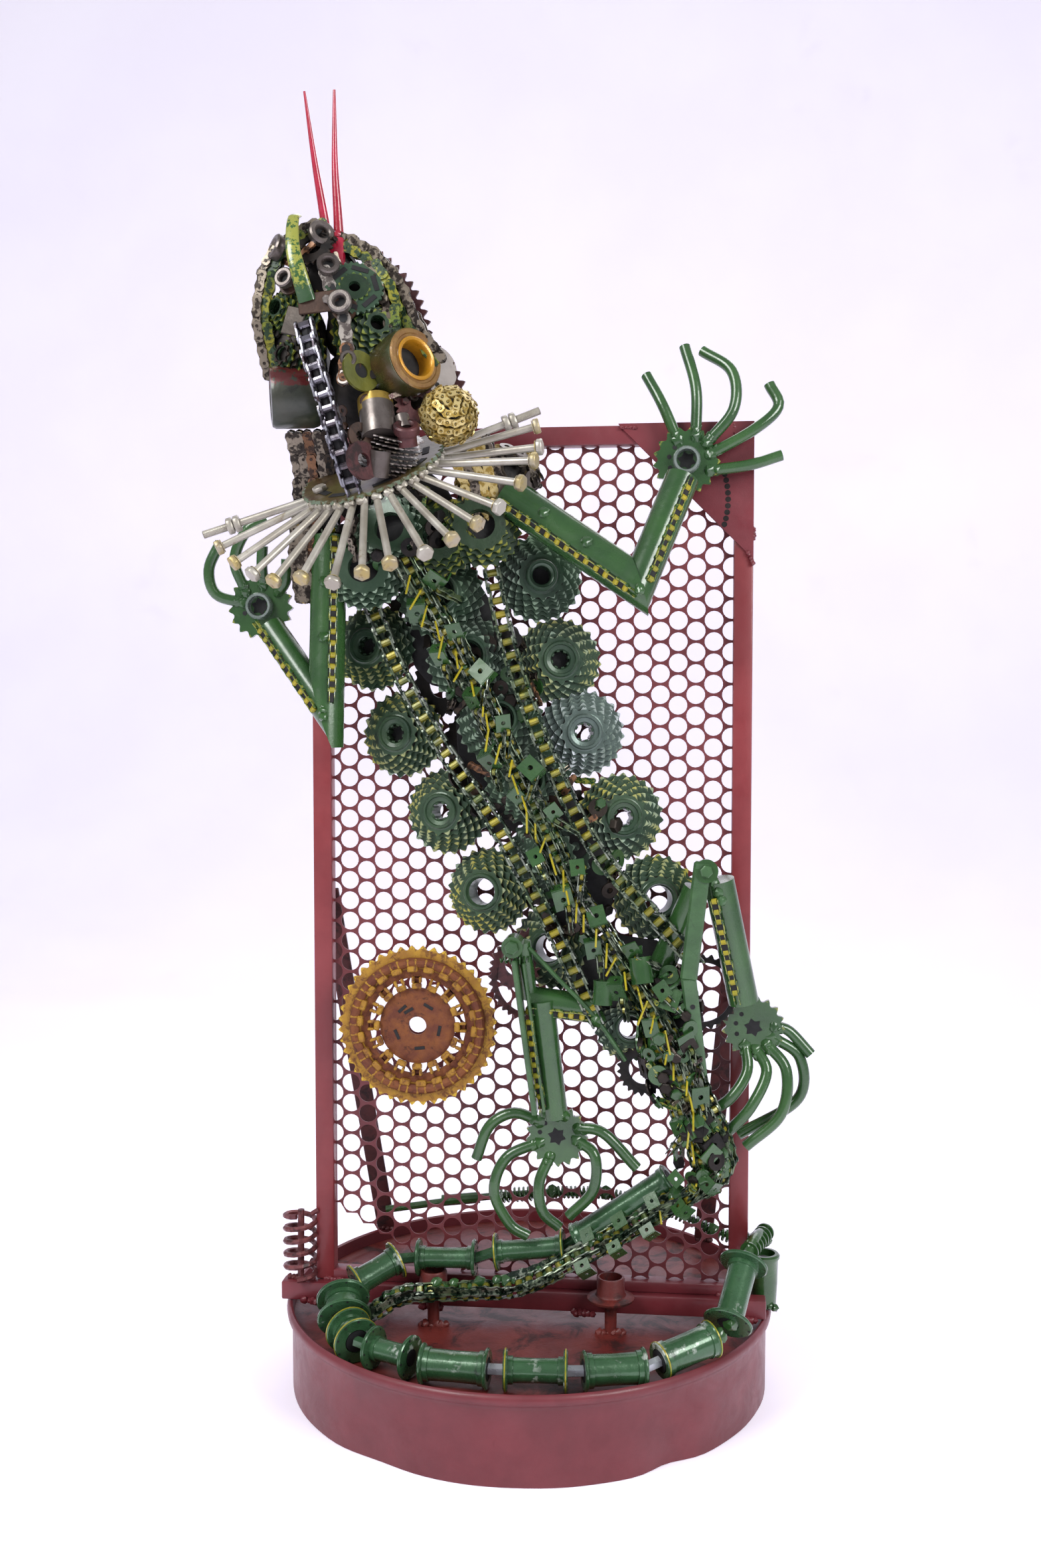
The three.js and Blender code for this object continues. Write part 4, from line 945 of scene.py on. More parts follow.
# olive paint over brown rust
olive_ring = finish("olive_over_rust", "#5f5a28", "#54402a", "#6f8068", "#2b2417", 0.28, 0.35, 50, 6.0,
                    0.5, 0.35, 0.55)
collar_at = Vector((-153, -170, 1065))
collar_axis = Vector((-0.26, -0.47, 0.84)).normalized()
collar_side = Vector((0.912, 0.134, 0.361))
collar_side = (collar_side - collar_axis * collar_side.dot(collar_axis)).normalized()
collar_fore = collar_side.cross(collar_axis)


# a point on the tilted collar, by angle, radius and height
def on_collar(angle, radius, lift=0.0):
    return (collar_at + collar_side * radius * math.cos(angle) + collar_fore * radius * math.sin(angle)
            + collar_axis * lift)


hex_head = plug(9.2, 6.5, 6)
bmesh.ops.bevel(hex_head, geom=hex_head.edges[:], offset=0.9, offset_type="OFFSET", segments=1, profile=0.5,
                affect="EDGES", material=-1)
hex_shape = shape_from(hex_head)
washer_face = disc(7.4, 0, 0.9, 16)
parts = new_parts()
put(parts, cog(44, 82, 4, 34, 4.4, 0.9), stand(collar_at, collar_axis), 2)
for angle, radius in ((2.75, 62), (2.3, 66), (1.5, 64), (0.75, 66), (0.2, 62)):
    slot_at = on_collar(angle, radius, 4.1)
    put(parts, bar((-11, -4, 0), (11, 4, 0.5), 0.2, 1),
        stand(slot_at, collar_axis, collar_axis.cross(slot_at - collar_at)),
        3)
put(parts, hex_shape, stand(on_collar(2.95, 62, 7), collar_axis, size=0.9), 0)
for k in range(18):
    angle = math.pi * (1 - k / 17)
    drop = 0.45 * math.sin(angle) + dice.uniform(-0.04, 0.04)
    reach = 108 + dice.uniform(-3, 6)
    base = on_collar(angle, 68, -4)
    end = on_collar(angle + dice.uniform(-0.02, 0.02), 78 + reach * math.cos(drop), -reach * math.sin(drop))
    way = (end - base).normalized()
    if k in (0, 17):
        put(parts, rod([base, end + way * 8], 4.2, 12, 40), tone=0)
        for step in range(26):
            ridge_at = end + way * (8 - step * 1.3)
            put(parts, turned([(3.6, 0), (4.7, 0.6), (3.6, 1.2)], 12, closed=True), stand(ridge_at, way), 0)
        for back_off in (22, 30):
            put(parts, hex_shape, stand(end - way * back_off, way, size=1.05), 0)
        continue
    put(parts, rod([base, end], 4.0, 12, 60), tone=0)
    put(parts, hex_shape, stand(end - way * 1, way, (dice.random(), dice.random(), 0)), 1 if k % 3 else 0)
    put(parts, washer_face, stand(end - way * 4.8, -way), 1)
    weld(parts, on_collar(angle - 0.03, 79, -3), on_collar(angle + 0.03, 79, -3), 4, 0)
piece("frill_of_bolts", parts, [zinc, yellow_head, olive_ring, hole_black], "zinc_bolts", "bolt_collar")

# ---- Eyes ----------------------------------------------------------------------------------------
# Two suspension bush housings: thick bronze-painted sleeves with a turned face and an open bore.
# The right one's bore is lipped in gold paint; the left one is maroon on top and grey-green below.
# bronze and green paint, brushed over each other
bronze = finish("bronze_green_paint", "#4a3920", "#39401f", "#8a6a3a", "#221c12", 0.22, 0.35, 45, 9.0,
                0.3, 0.5, 0.6)
# the turned face, painted bronze
bronze_face = finish("turned_bronze_face", "#7d5a30", "#8a6a38", "#a98040", "#4d3318", 0.3, 0.4, 14, 1.5,
                     0.35, 0.4, 0.58)
# gold paint inside the bore
gold_lip = finish("gold_paint_lip", "#c08a1e", "#b3801c", "#d8ab48", "#7a5216", 0.26, 0.35, 12, 2.0, 0.3,
                  0.4, 0.62)
# grey-green paint, maroon where it is worn on top
maroon_cap = finish("maroon_and_grey_paint", "#2d342a", "#3a3c32", "#54201f", "#1a1c17", 0.26, 0.25, 24,
                    9.0, 0.3, 0.35,
                    0.58)
eye_back, eye_axis = Vector((-134, -190, 1163)), Vector((0.72, -0.66, 0.18)).normalized()
parts = new_parts()
sleeve = [(0, 0), (27, 0), (31, 6), (33.5, 12), (34.5, 18), (34.5, 48), (33.5, 51)]
put(parts, turned(sleeve + [(31, 51.5), (20, 51), (19, 16), (0, 16)], 48), stand(eye_back, eye_axis), 0)
put(parts, turned([(23, 48), (32, 50.5), (33, 52), (31.5, 53.8), (27.5, 54), (26.5, 52.8), (24, 52.6),
                   (23, 54)], 48,
                  closed=True), stand(eye_back, eye_axis), 1)
put(parts, turned([(18, 17), (23.5, 17), (23.5, 54.3), (22, 55), (19.8, 54.2), (18, 51)], 48, closed=True),
    stand(eye_back, eye_axis), 2)
# a black disc deep in the bore: painted shade
put(parts, disc(18.6, 33, 34, 32), stand(eye_back, eye_axis), 3)
piece("eye_right_bush", parts, [bronze, bronze_face, gold_lip, hole_black], "bronze_paint", "eye_right")
left_back, left_axis = Vector((-206, -186, 1143)), Vector((-0.95, -0.28, -0.05)).normalized()
parts = new_parts()
put(parts, turned([(0, 0), (27, 0), (31, 4), (33, 10), (33, 50), (31, 54), (24, 55), (23, 52), (16, 52),
                   (15, 55),
                   (14, 20), (0, 20)], 48), stand(left_back, left_axis), 0)
# a black disc deep in the bore: painted shade
put(parts, disc(14, 20.5, 21, 24), stand(left_back, left_axis), 1)
wear_and_highlight = parts.verts.layers.float["wear_and_highlight"]
for corner in parts.verts:
    corner[wear_and_highlight] = 1.6 if corner.co.z > 1149 else 0.0
piece("eye_left_bush", parts, [maroon_cap, hole_black], "maroon_paint", "eye_left")

# ---- Head chain ----------------------------------------------------------------------------------
# Bright nickel-plated motorcycle chain from the bridge of the nose down to the collar.
# Polished plates with dark grease at the pins, a little maroon overspray near its foot.
# nickel plate, dark between the links
nickel = finish("nickel_chain_plate", "#45424a", "#35292d", "#8f8f98", "#1d1416", 0.24, 0.75, 40, 9.0,
                0.25, 0.0, 0.56)
# polished rollers with grease at their ends
nickel_dark = finish("greasy_nickel_roller", "#8d8d96", "#655e62", "#e8e8ee", "#2a2226", 0.14, 0.9, 30,
                     9.0, 0.3, 0.0,
                     0.58)
parts = new_parts()
lay(parts, [(-209, -246, 1205), (-200, -253, 1170), (-189, -254, 1138), (-174, -251, 1083),
            (-160, -233, 1032)],
    motor_chain, motor_pitch, (-0.12, -1, 0.05))
# a black rod under the chain: painted shade between its links
put(parts, rod([(-208, -238, 1205), (-199, -245, 1170), (-188, -246, 1138), (-173, -243, 1083),
                (-162, -228, 1040)], 8,
               8, 12), tone=2)
piece("chain_down_the_nose", parts, [nickel, nickel_dark, hole_black], "bare_chain", "head_chain")

# ---- Tongue --------------------------------------------------------------------------------------
# Two steel rods ground to long points and welded to a stub in the mouth: a forked tongue.
# Thick glossy red enamel, thinner and pinker towards the tips.
# glossy red enamel
red = finish("glossy_red_enamel", "#8f1228", "#a51f3a", "#c05a70", "#5a0a14", 0.18, 0.0, 30, 5.0, 0.35,
             0.6, 0.68)
parts = new_parts()
put(parts, rod([(-193, -206, 1300), (-197, -210, 1330), (-204, -218, 1380), (-212, -228, 1449)], 5.6, 12,
               7, 1.3))
put(parts, rod([(-181, -205, 1298), (-182, -208, 1330), (-184, -211, 1380), (-183, -216, 1454)], 5.8, 12,
               7, 1.5))
weld(parts, (-192, -208, 1300), (-182, -208, 1306), 7)
piece("forked_tongue", parts, [red], "tongue_red", "tongue")

# ---- Skull and snout -----------------------------------------------------------------------------
# Odds and ends welded over each other: freewheel cones for the cheeks and brow, washers, bearing
# rings, links and a brake lever down the nose. Green, yellow and maroon paint over dark steel and
# over dark masses that are painted shade.
# dark green with yellow-green brushed along the teeth, the tips lighter partly as painted highlight
brow_green = finish("yellow_green_brush", "#1e3220", "#283f26", "#56702f", "#0f1711", 0.24, 0.25, 50, 8.0,
                    0.5, 0.4, 0.56,
                    second_wear_and_highlight="#8f8a2c")
# tarnished nickel plate
scrap_silver = finish("tarnished_plate", "#77706b", "#5c5450", "#b0a9a0", "#2a2421", 0.24, 0.7, 50, 8.0,
                      0.4, 0.0, 0.58)
# loose brown rust
scrap_brown = finish("rusty_brown_scrap", "#3d2a20", "#4a3426", "#8a6244", "#15100d", 0.4, 0.4, 40, 8.0,
                     0.5, 0.1, 0.56)
# grey primer
grey_disc = finish("primer_grey", "#8d8682", "#9c948e", "#bcb4ac", "#4a4440", 0.4, 0.2, 40, 5.0, 0.3, 0.0,
                   0.6)
# dirty gold paint over chain
gold_chain = finish("dirty_gold_chain", "#ab8f43", "#8d7634", "#d3c083", "#3a3018", 0.26, 0.6, 50, 9.0,
                    0.35, 0.1, 0.6)
# old chain, black with oil
dark_chain = finish("oily_chain", "#2b2622", "#39322c", "#857b6d", "#110f0d", 0.26, 0.7, 50, 9.0, 0.4,
                    0.0, 0.58)
# glossy olive paint
olive_washer = finish("olive_washer", "#66661f", "#545820", "#8f8f36", "#232312", 0.28, 0.3, 30, 5.0, 0.4,
                      0.4, 0.6)
bearing = turned([(5.5, 0), (11.5, 0), (12, 1.5), (12, 7), (10.5, 8.5), (7.5, 8.5), (6, 7), (5.5, 5)], 24,
                 closed=True)
washer = disc(12, 0, 2.5, 24, 4.5)
skull_finishes = [grime_and_shade, brow_green, scrap_silver, scrap_brown, grey_disc, gold_chain, dark_chain,
                  olive_washer,
                  maroon_scrap, hole_black, enamel, roller_yellow, red, cog_deep]
# their places in that list, by a short word for each
DARK, BROW, SILVER, BROWN, GREY, GOLD, OILY, OLIVE, MAROON, HOLE, GREEN, YELLOW, RED, COGS = range(14)


# a ball squashed to three radii, with a rough skin: a dark mass behind the loose scrap, painted shade where gaps
# would show
def core(parts, centre, radii, tone, seed):
    place = Matrix.Translation(centre) @ Matrix.Diagonal((*radii, 1))
    put(parts, lump_shape(seed, 0.18, 3), place, tone)


# small scrap strewn over a squashed ball and lying flat on it, towards the front
def strew(parts, centre, radii, count, shapes, finishes, size=1.0):
    for _ in range(count):
        bearing_angle, rise = dice.uniform(-2.2, 2.2), dice.uniform(-1.2, 1.2)
        out = Vector((math.sin(bearing_angle) * math.cos(rise), -math.cos(bearing_angle) * math.cos(rise),
                      math.sin(rise)))
        at = Vector(centre) + Vector((out.x * radii[0], out.y * radii[1], out.z * radii[2]))
        normal = Vector((out.x / radii[0], out.y / radii[1], out.z / radii[2])).normalized()
        spin = Vector((dice.uniform(-1, 1), dice.uniform(-1, 1), dice.uniform(-1, 1)))
        put(parts, dice.choice(shapes), stand(at, normal + spin * 0.2, spin,
                                              size * dice.uniform(0.7, 1.15)),
            dice.choice(finishes))


# cycle chain laid side-on, so that its plates show, in strands beside each other
def strands(parts, route, shifts, across, out_finish, in_finish):
    for k, shift in enumerate(shifts):
        moved = [Vector(p) + Vector(across) * shift for p in route]
        places = along(moved, cycle_pitch)
        for i in range(0, len(places) - 1, 2):
            at = places[i][0]
            way = (places[i + 1][0] - at).normalized()
            copy = wide_chain.copy()
            tones = [(out_finish if index == 0 else in_finish)[k % len(out_finish)]
                     for index in (face.material_index for face in copy.polygons)]
            copy.polygons.foreach_set("material_index", tones)
            up = way.cross(FRONT + Vector((dice.uniform(-0.25, 0.25), 0, dice.uniform(-0.25, 0.25))))
            put(parts, copy, stand(at, up, way))
            bpy.data.meshes.remove(copy)


small_link = cycle_chain.copy()
small_link.transform(Matrix.Rotation(math.pi / 2, 4, "X"))
parts = new_parts()
for centre, radii in (((-146, -184, 1150), (54, 30, 54)), ((-158, -190, 1222), (42, 24, 58)),
                      ((-196, -196, 1272), (34, 18, 36)), ((-228, -188, 1180), (32, 22, 66))):
    core(parts, centre, radii, DARK, radii[0])
# the brow: a slotted plate over a cassette whose teeth lie like scales
brow_at, brow_axis = Vector((-147, -200, 1204)), Vector((0.36, -0.9, 0.16)).normalized()
left_at, left_axis = Vector((-232, -192, 1228)), Vector((-0.5, -0.85, 0.1)).normalized()
for k in range(8):
    radius = 46 - 4.4 * k
    teeth = round(radius / 2)
    put(parts, cog(teeth, radius, sheet, 8, 4.0, 1.2),
        stand(brow_at + brow_axis * 4.4 * k, brow_axis, (1, 0, 0.2 * k)),
        BROW)
    put(parts, cog(teeth, radius * 0.86, sheet, 8, 3.6, 1.2),
        stand(left_at + left_axis * 4.2 * k, left_axis), BROW)
    put(parts, cog(teeth, radius * 0.8, sheet, 8, 3.6, 1.0),
        stand(left_at + Vector((6, 2, -48)) + left_axis * 4.2 * k,
                                                                left_axis), DARK if k % 2 else BROW)
plate_axis = Vector((0.2, -0.93, 0.3)).normalized()
plate_at = Vector((-160, -228, 1245))
put(parts, cog(30, 31, 3, 6, 2.6, 0.7), stand(plate_at, plate_axis), COGS)
put(parts, cog(14, 17, 2, 6, 2.6, 0.9), stand(plate_at + plate_axis * 3, plate_axis), BROW)
for angle in (20, 80, 140, 200, 260, 320):
    spot = Vector((22 * math.cos(math.radians(angle)), 22 * math.sin(math.radians(angle)), 3.1))
    turn = Matrix.Translation(spot) @ Matrix.Rotation(math.radians(angle + 90), 4, "Z")
    put(parts, bar((-9, -2.6, 0), (9, 2.6, 0.8), 0.3, 1), stand(plate_at, plate_axis) @ turn, HOLE)
put(parts, bar((-12, -10, -16), (10, 6, 18), 4, 2), Matrix.Translation((-184, -206, 1286)), RED)
# two sectors of a big chainring standing out behind the right cheek
for arc_at, arc_out, reach in (((-213, -168, 1195), (0.8, 0, 0.35), 88),
                               ((-168, -168, 1108), (0.85, 0, 0.53), 110)):
    arc_out = Vector(arc_out).normalized()
    arc = bmesh.new()
    arc.from_mesh(cog(68, 127, 3.5, 98, 6.5, 0.3))
    bmesh.ops.transform(arc, matrix=stand(arc_at, FRONT), verts=arc.verts)
    cut_off(arc, Vector(arc_at) + arc_out * reach, -arc_out)
    bmesh.ops.holes_fill(arc, edges=arc.edges[:], sides=0)
    put(parts, shape_from(arc), tone=MAROON)
disc_axis = Vector((0.6, -0.78, 0.15))
disc_place = stand((-83, -184, 1170), disc_axis)
put(parts, disc(26, 0, 2.5, 32, 6), disc_place, GREY)
for angle in (0.2, 1.4, 5.2):
    hole_at = disc_place @ Vector((18 * math.cos(angle), 18 * math.sin(angle), 2.6))
    put(parts, dot, stand(hole_at, disc_axis, size=0.9), HOLE)
put(parts, cog(22, 26, 3, 8, 4.2, 0.6), stand((-97, -208, 1128), (0.3, -0.9, 0.2)), MAROON)
for normal, size, at in (((0, -1, 0.2), 1.05, (-172, -240, 1227)),
                         ((0.2, -1, 0.3), 1.0, (-187, -231, 1268)),
                         ((-0.3, -1, 0.2), 0.9, (-234, -224, 1258)),
                         ((0.1, -1, 0), 0.7, (-164, -240, 1170))):
    put(parts, bearing, stand(at, normal, size=size), SILVER)
    put(parts, washer, stand(Vector(at) + Vector((3, 5, -4)), normal, size=size * 1.1), BROWN)
    put(parts, disc(6, 1, 1.5, 14), stand(at, normal, size=size), HOLE)
for at, axis in (((-200, -214, 1305), (0.5, -0.8, 0.25)), ((-241, -218, 1291), (-0.75, -0.55, 0.3))):
    put(parts, bearing, stand(at, axis, size=1.15), SILVER)
    put(parts, disc(6.4, 0.5, 1, 16), stand(Vector(at) + Vector(axis) * 2, axis), HOLE)
put(parts, bar((-24, -11, 0), (20, 11, 3), 1, 1),
    stand((-193, -239, 1229), (0.05, -1, 0.1), (1, 0, 0.12)), BROWN)
put(parts, bar((-12, -16, 0), (12, 14, 2.6), 1, 1),
    stand((-222, -236, 1212), (-0.3, -1, 0.1), (1, 0, -0.3)), OILY)
put(parts, nut_head, stand((-186, -242, 1231), FRONT, size=0.6), SILVER)
# links hanging one below another beside the nose
long_link = chain_unit(16, 6, 15, 5, 2.0)
long_link.transform(Matrix.Rotation(math.pi / 2, 4, "X"))
for at, way, tone in (((-190, -232, 1262), (0.3, 0, -1), SILVER),
                      ((-169, -238, 1212), (0.12, 0, -1), SILVER),
                      ((-166, -240, 1180), (-0.1, 0, -1), BROWN)):
    put(parts, long_link, stand(at, (0.1, -1, 0.1), way), tone)
    put(parts, dot, stand(Vector(at) + Vector((0, -4, 0)), FRONT, size=1.4), HOLE)
olive_place = stand((-153, -236, 1158), (0.72, -0.68, 0.2))
put(parts, disc(22, 0, 3, 28, 8), olive_place, OLIVE)
put(parts, disc(8.4, 0.5, 1, 14), olive_place, HOLE)
put(parts, bearing, stand((-167, -240, 1150), (-0.2, -1, 0.2), size=0.75), SILVER)
# a short pipe, bright below and gold above, on a stack of thin toothed washers
for start, end, radius, tone in (
        ((-139, -222, 1124), (-133, -234, 1090), 18.5, SILVER),
                                 ((-111, -226, 1112), (-106, -232, 1098), 8, SILVER),
        ((-103, -232, 1080), (-104, -236, 1094), 10, MAROON),
                                 ((-135, -230, 1050), (-131, -236, 1076), 11, SILVER)):
    put(parts, tube(start, end, radius), tone=tone)
put(parts, disc(19, 0, 16, 24, 14), stand((-141, -218, 1132), (0.16, -0.33, -0.93)),
    GOLD)
put(parts, bearing, stand((-104, -236, 1094), (0.1, -0.6, 0.8), size=1.15), MAROON)
put(parts, washer, stand((-150, -246, 1064), (0.75, -0.62, 0.1), size=1.7), MAROON)
put(parts, washer, stand((-153, -242, 1090), (0.7, -0.7, 0.1), size=1.2), BROWN)
for k in range(10):
    axis = Vector((0.25, -0.3, 0.92))
    at = Vector((-131, -204, 1062)) + axis * 4.0 * k
    put(parts, cog(26, 33 - (k % 3) * 2, 1.5, 10, 3.0, 0.7), stand(at, axis, (1, 0.1 * k, 0)),
        (OILY, SILVER)[k % 2])
strew(parts, (-150, -190, 1136), (54, 40, 44), 40, [washer, small_link, nut_head, bearing],
      [BROWN, MAROON, OILY, DARK],
      0.6)
strew(parts, (-232, -186, 1180), (28, 28, 60), 24, [washer, small_link, nut_head],
      [BROWN, OILY, DARK, GREEN], 0.6)
piece("skull_of_scrap", parts, skull_finishes, "green_enamel", "skull")

# ---- Snout ----------------------------------------------------------------------------------------
# A brake lever down the bridge of the nose, over the left jaw's chain and a strew of small washers.
# The lever is green at its foot and brushed yellow towards its tip; the rest is oily or brown.
parts = new_parts()
wear_and_highlight = parts.verts.layers.float["wear_and_highlight"]
put(parts, rod([(-207, -242, 1230), (-213, -249, 1254), (-220, -248, 1280), (-223, -240, 1304),
                (-224, -230, 1320),
                (-223, -222, 1324)], 9.2, 16, 4, 6, flat=0.36, facing=(0.1, -1, 0)), tone=GREEN)
for corner in parts.verts:
    corner[wear_and_highlight] = max(0.0, min(2.0, (corner.co.z - 1228) / 36))
jaw_left = [(-206, -210, 1318), (-236, -213, 1302), (-258, -214, 1272), (-268, -210, 1224),
            (-262, -202, 1176)]
strands(parts, jaw_left, (0, 9), (0.95, 0.1, -0.1), [OILY, BROW], [DARK, OILY])
put(parts, cog(20, 24, 2.6, 10, 3.6, 0.7), stand((-206, -222, 1290), (-0.1, -0.9, 0.5)), DARK)
strew(parts, (-204, -206, 1276), (34, 24, 34), 26, [washer, small_link, nut_head], [BROWN, OILY, DARK], 0.6)
piece("snout_lever_and_rings", parts, skull_finishes, "green_enamel", "snout")

# ---- Right jaw chain ------------------------------------------------------------------------------
# Cycle chain from the lip round the right cheek, with a shorter run inside it beside the brow.
# Oily steel, brushed with green and yellow on the inner strands.
parts = new_parts()
jaw = [(-190, -206, 1306), (-172, -206, 1302), (-142, -206, 1286), (-118, -206, 1257), (-104, -206, 1228),
       (-90, -204, 1202), (-80, -203, 1188)]
strands(parts, jaw, (0, -10), (0.8, 0.1, 0.58), [OILY, BROW], [OILY, DARK])
strands(parts, [(-138, -214, 1272), (-122, -216, 1244), (-118, -216, 1212)], (0, -9), (1, 0, 0.2),
        [BROW, OILY],
        [YELLOW, OILY])
piece("jaw_chain_right_strands", parts, skull_finishes, "green_enamel", "jaw_chain_right")

# ---- Neck ----------------------------------------------------------------------------------------
# Old cycle chain wound into a ball at the cheek and hung in close columns down both sides.
# Brushed with gold on the right; left oily and brown on the far side, and behind the frill.
parts = new_parts()
ball_at, ball_radius = Vector((-64, -208, 1116)), 26
core(parts, ball_at, (26, 26, 26), DARK, 4)
ball_link = chain_unit(8, 5, 8.6, 2.6, 1.3)
ball_link.transform(Matrix.Rotation(math.pi / 2, 4, "X"))
ball_axis = Vector((0.25, -0.86, 0.42)).normalized()
ball_side = ball_axis.orthogonal().normalized()
for k in range(8):
    lift = math.radians(78 - 19 * k)
    count = max(3, round(2 * math.pi * (ball_radius + 3) * math.cos(lift) / 16))
    for i in range(count):
        turn = 2 * math.pi * i / count + k
        around = Matrix.Rotation(turn, 3, ball_axis) @ ball_side
        out = around * math.cos(lift) + ball_axis * math.sin(lift)
        way = ball_axis.cross(around)
        at = ball_at + out * (ball_radius + 2) - way * 8
        put(parts, ball_link, stand(at, out, way), GOLD)
        for x in (0, 8, 16):
            put(parts, dot, stand(at, out, way) @ Matrix.Translation((x, 0, 2.7)) @ Matrix.Scale(0.5, 4),
                DARK)
strands(parts, [(-60, -150, 1100), (-46, -138, 1066), (-40, -128, 1030), (-44, -124, 1004)],
        (-14, -4, 6, 16, 26), (0.95, 0.15, 0.25), [GOLD, OILY, GOLD, GOLD, OILY],
        [OILY, DARK, DARK, GOLD, OILY])
strands(parts, [(12, -110, 1092), (10, -112, 1060), (4, -112, 1036)], (-8, 2), (1, 0, 0), [OILY, GOLD],
        [OILY, DARK])
core(parts, (-30, -112, 1050), (40, 18, 46), DARK, 6)
strew(parts, (-24, -116, 1060), (44, 22, 40), 46, [small_link, washer], [GOLD, OILY, SILVER], 0.9)
piece("neck_right_gold_chain", parts, skull_finishes, "green_enamel", "neck_right")

# ---- Nape and left neck ---------------------------------------------------------------------------
# A column of old chain down the left of the neck, and small cassettes under the frill.
# Oily and brown chain with a little gold; the cassettes are green, with yellow on every second one.
parts = new_parts()
# black masses behind the nape and left neck: painted shade
core(parts, (-135, -102, 1020), (62, 22, 60), HOLE, 7)
core(parts, (-228, -108, 1030), (24, 16, 72), HOLE, 8)
neck_left = [(-240, -156, 1108), (-236, -142, 1072), (-238, -134, 1034), (-244, -130, 985),
             (-238, -128, 930)]
strands(parts, neck_left, (-9, 1, 11), (0.95, -0.1, 0), [OILY, OILY, BROWN], [DARK, GOLD, DARK])
strands(parts, neck_left[2:], (-5, 6), (0.95, -0.6, 0), [GOLD, OILY], [DARK, DARK])
strands(parts, [(x + 22, y - 2, z) for x, y, z in neck_left[:3]], (0, 10), (0.95, -0.1, 0), [OILY, DARK],
        [DARK, DARK])
for k, (x, z) in enumerate(((-140, 1004), (-86, 996), (-170, 960), (-40, 1006))):
    for layer in range(4):
        radius = 46 - 4.4 * layer
        put(parts, cog(round(radius / 2), radius, sheet, 17, 4.4, 1.0),
            stand((x, -132 - 4.6 * layer, z + layer), (0.12 * (k - 1), -1, 0.2), (1, 0, layer)),
            BROW if k % 2 else COGS)
    # a black disc behind each cassette's bore: painted shade
    put(parts, disc(20, 0, 1, 20), stand((x, -134, z), (0.12 * (k - 1), -1, 0.2)), HOLE)
strew(parts, (-140, -134, 1010), (60, 26, 50), 40, [small_link, washer, nut_head],
      [OILY, DARK, DARK, GREEN], 0.9)
piece("nape_and_left_neck_chain", parts, skull_finishes, "green_enamel", "nape")

# ---- Tail ----------------------------------------------------------------------------------------
# Bicycle wheel hubs strung on their axles, over the crossbar, round the drum's left and along its
# front. Glossy green enamel rubbed bright on the barrels, the bright patches also painted highlights;
# yellow on some flanges, bare axle ends.
# green enamel on hub shells, worn to aluminium in patches that also serve as painted highlights
hub_green = finish("worn_and_highlit_hub_enamel", "#2d5031", "#3b6240", "#b7c2b6", "#16251c", 0.15, 0.25, 40, 10.0,
                   0.4, 0.5, 0.6)
# bare bright axle steel
bright_axle = finish("bright_axle_steel", "#c9cdd4", "#b0b5bd", "#eef1f5", "#5a5e65", 0.2, 0.6, 60, 12.0,
                     0.2, 0.0, 0.64)
# yellow brushed round a flange
flange_yellow = finish("yellow_flange_edge", "#a8951e", "#7d8a2a", "#c9c07a", "#3a3a18", 0.25, 0.3, 14,
                       3.0, 0.3, 0.3,
                       0.58)


# a hub shell: two flanges with stepped shoulders and a waisted barrel
def hub_shape(length, flange, barrel):
    half = [(0, 4), (barrel * 0.7, 4), (barrel * 0.75, 0.4), (flange - 1, 0), (flange, 1), (flange, 3),
            (flange - 1, 4.2),
            (barrel + 1.6, 4.8), (barrel + 1.6, 10), (barrel, 10.5)]
    return turned(half + [(barrel - 0.4, length / 2)] + [(r, length - z) for r, z in reversed(half)], 36)


stub_shape = shape_from(plug(6.5, 1, 6))


# hubs on one axle, with an axle stub between each two
def string_of_hubs(name, node, hubs, bare=False):
    parts = new_parts()
    wear_and_highlight = parts.verts.layers.float["wear_and_highlight"]
    for k, (start, end, flange, barrel) in enumerate(hubs):
        start, end = Vector(start), Vector(end)
        length = (end - start).length
        way = (end - start) / length
        place = stand(start, way)
        put(parts, hub_shape(length, flange, barrel), place, 0)
        for height in (2, length - 2):
            rim = turned([(flange - 0.4, -0.9), (flange + 0.6, -0.7), (flange + 0.6, 0.7),
                          (flange - 0.4, 0.9)], 36,
                         closed=True)
            put(parts, rim, place @ Matrix.Translation((0, 0, height)), 2 if k % 2 else 0)
            for spoke in range(9 if flange > barrel + 5 else 0):
                turn = Matrix.Rotation(2 * math.pi * spoke / 9, 4,
                                       "Z") @ Matrix.Translation((flange - 3, 0, height))
                for flip in (-2.2, 2.3):
                    put(parts, dot, place @ turn @ Matrix.Translation((0, 0, flip)) @ Matrix.Scale(0.42,
                            4), 3)
            put(parts, disc(barrel * 0.7, -1.9, 1.9, 20),
                place @ Matrix.Translation((0, 0, height)), 3)
        if k:
            before = Vector(hubs[k - 1][1])
            gap = start - before
            shape = Matrix.Diagonal((1, 1, gap.length + 4, 1))
            put(parts, stub_shape, stand(before.lerp(start, 0.5), gap) @ shape, 1 if bare else 0)
    # light patches on the front of the hubs: worn enamel and painted highlights
    for corner in parts.verts:
        corner[wear_and_highlight] = max(0.0, noise.noise(corner.co / 22)) if corner.co.y < -60 else 0.0
    piece(name, parts, [hub_green, bright_axle, flange_yellow, hole_black], "green_enamel", node)


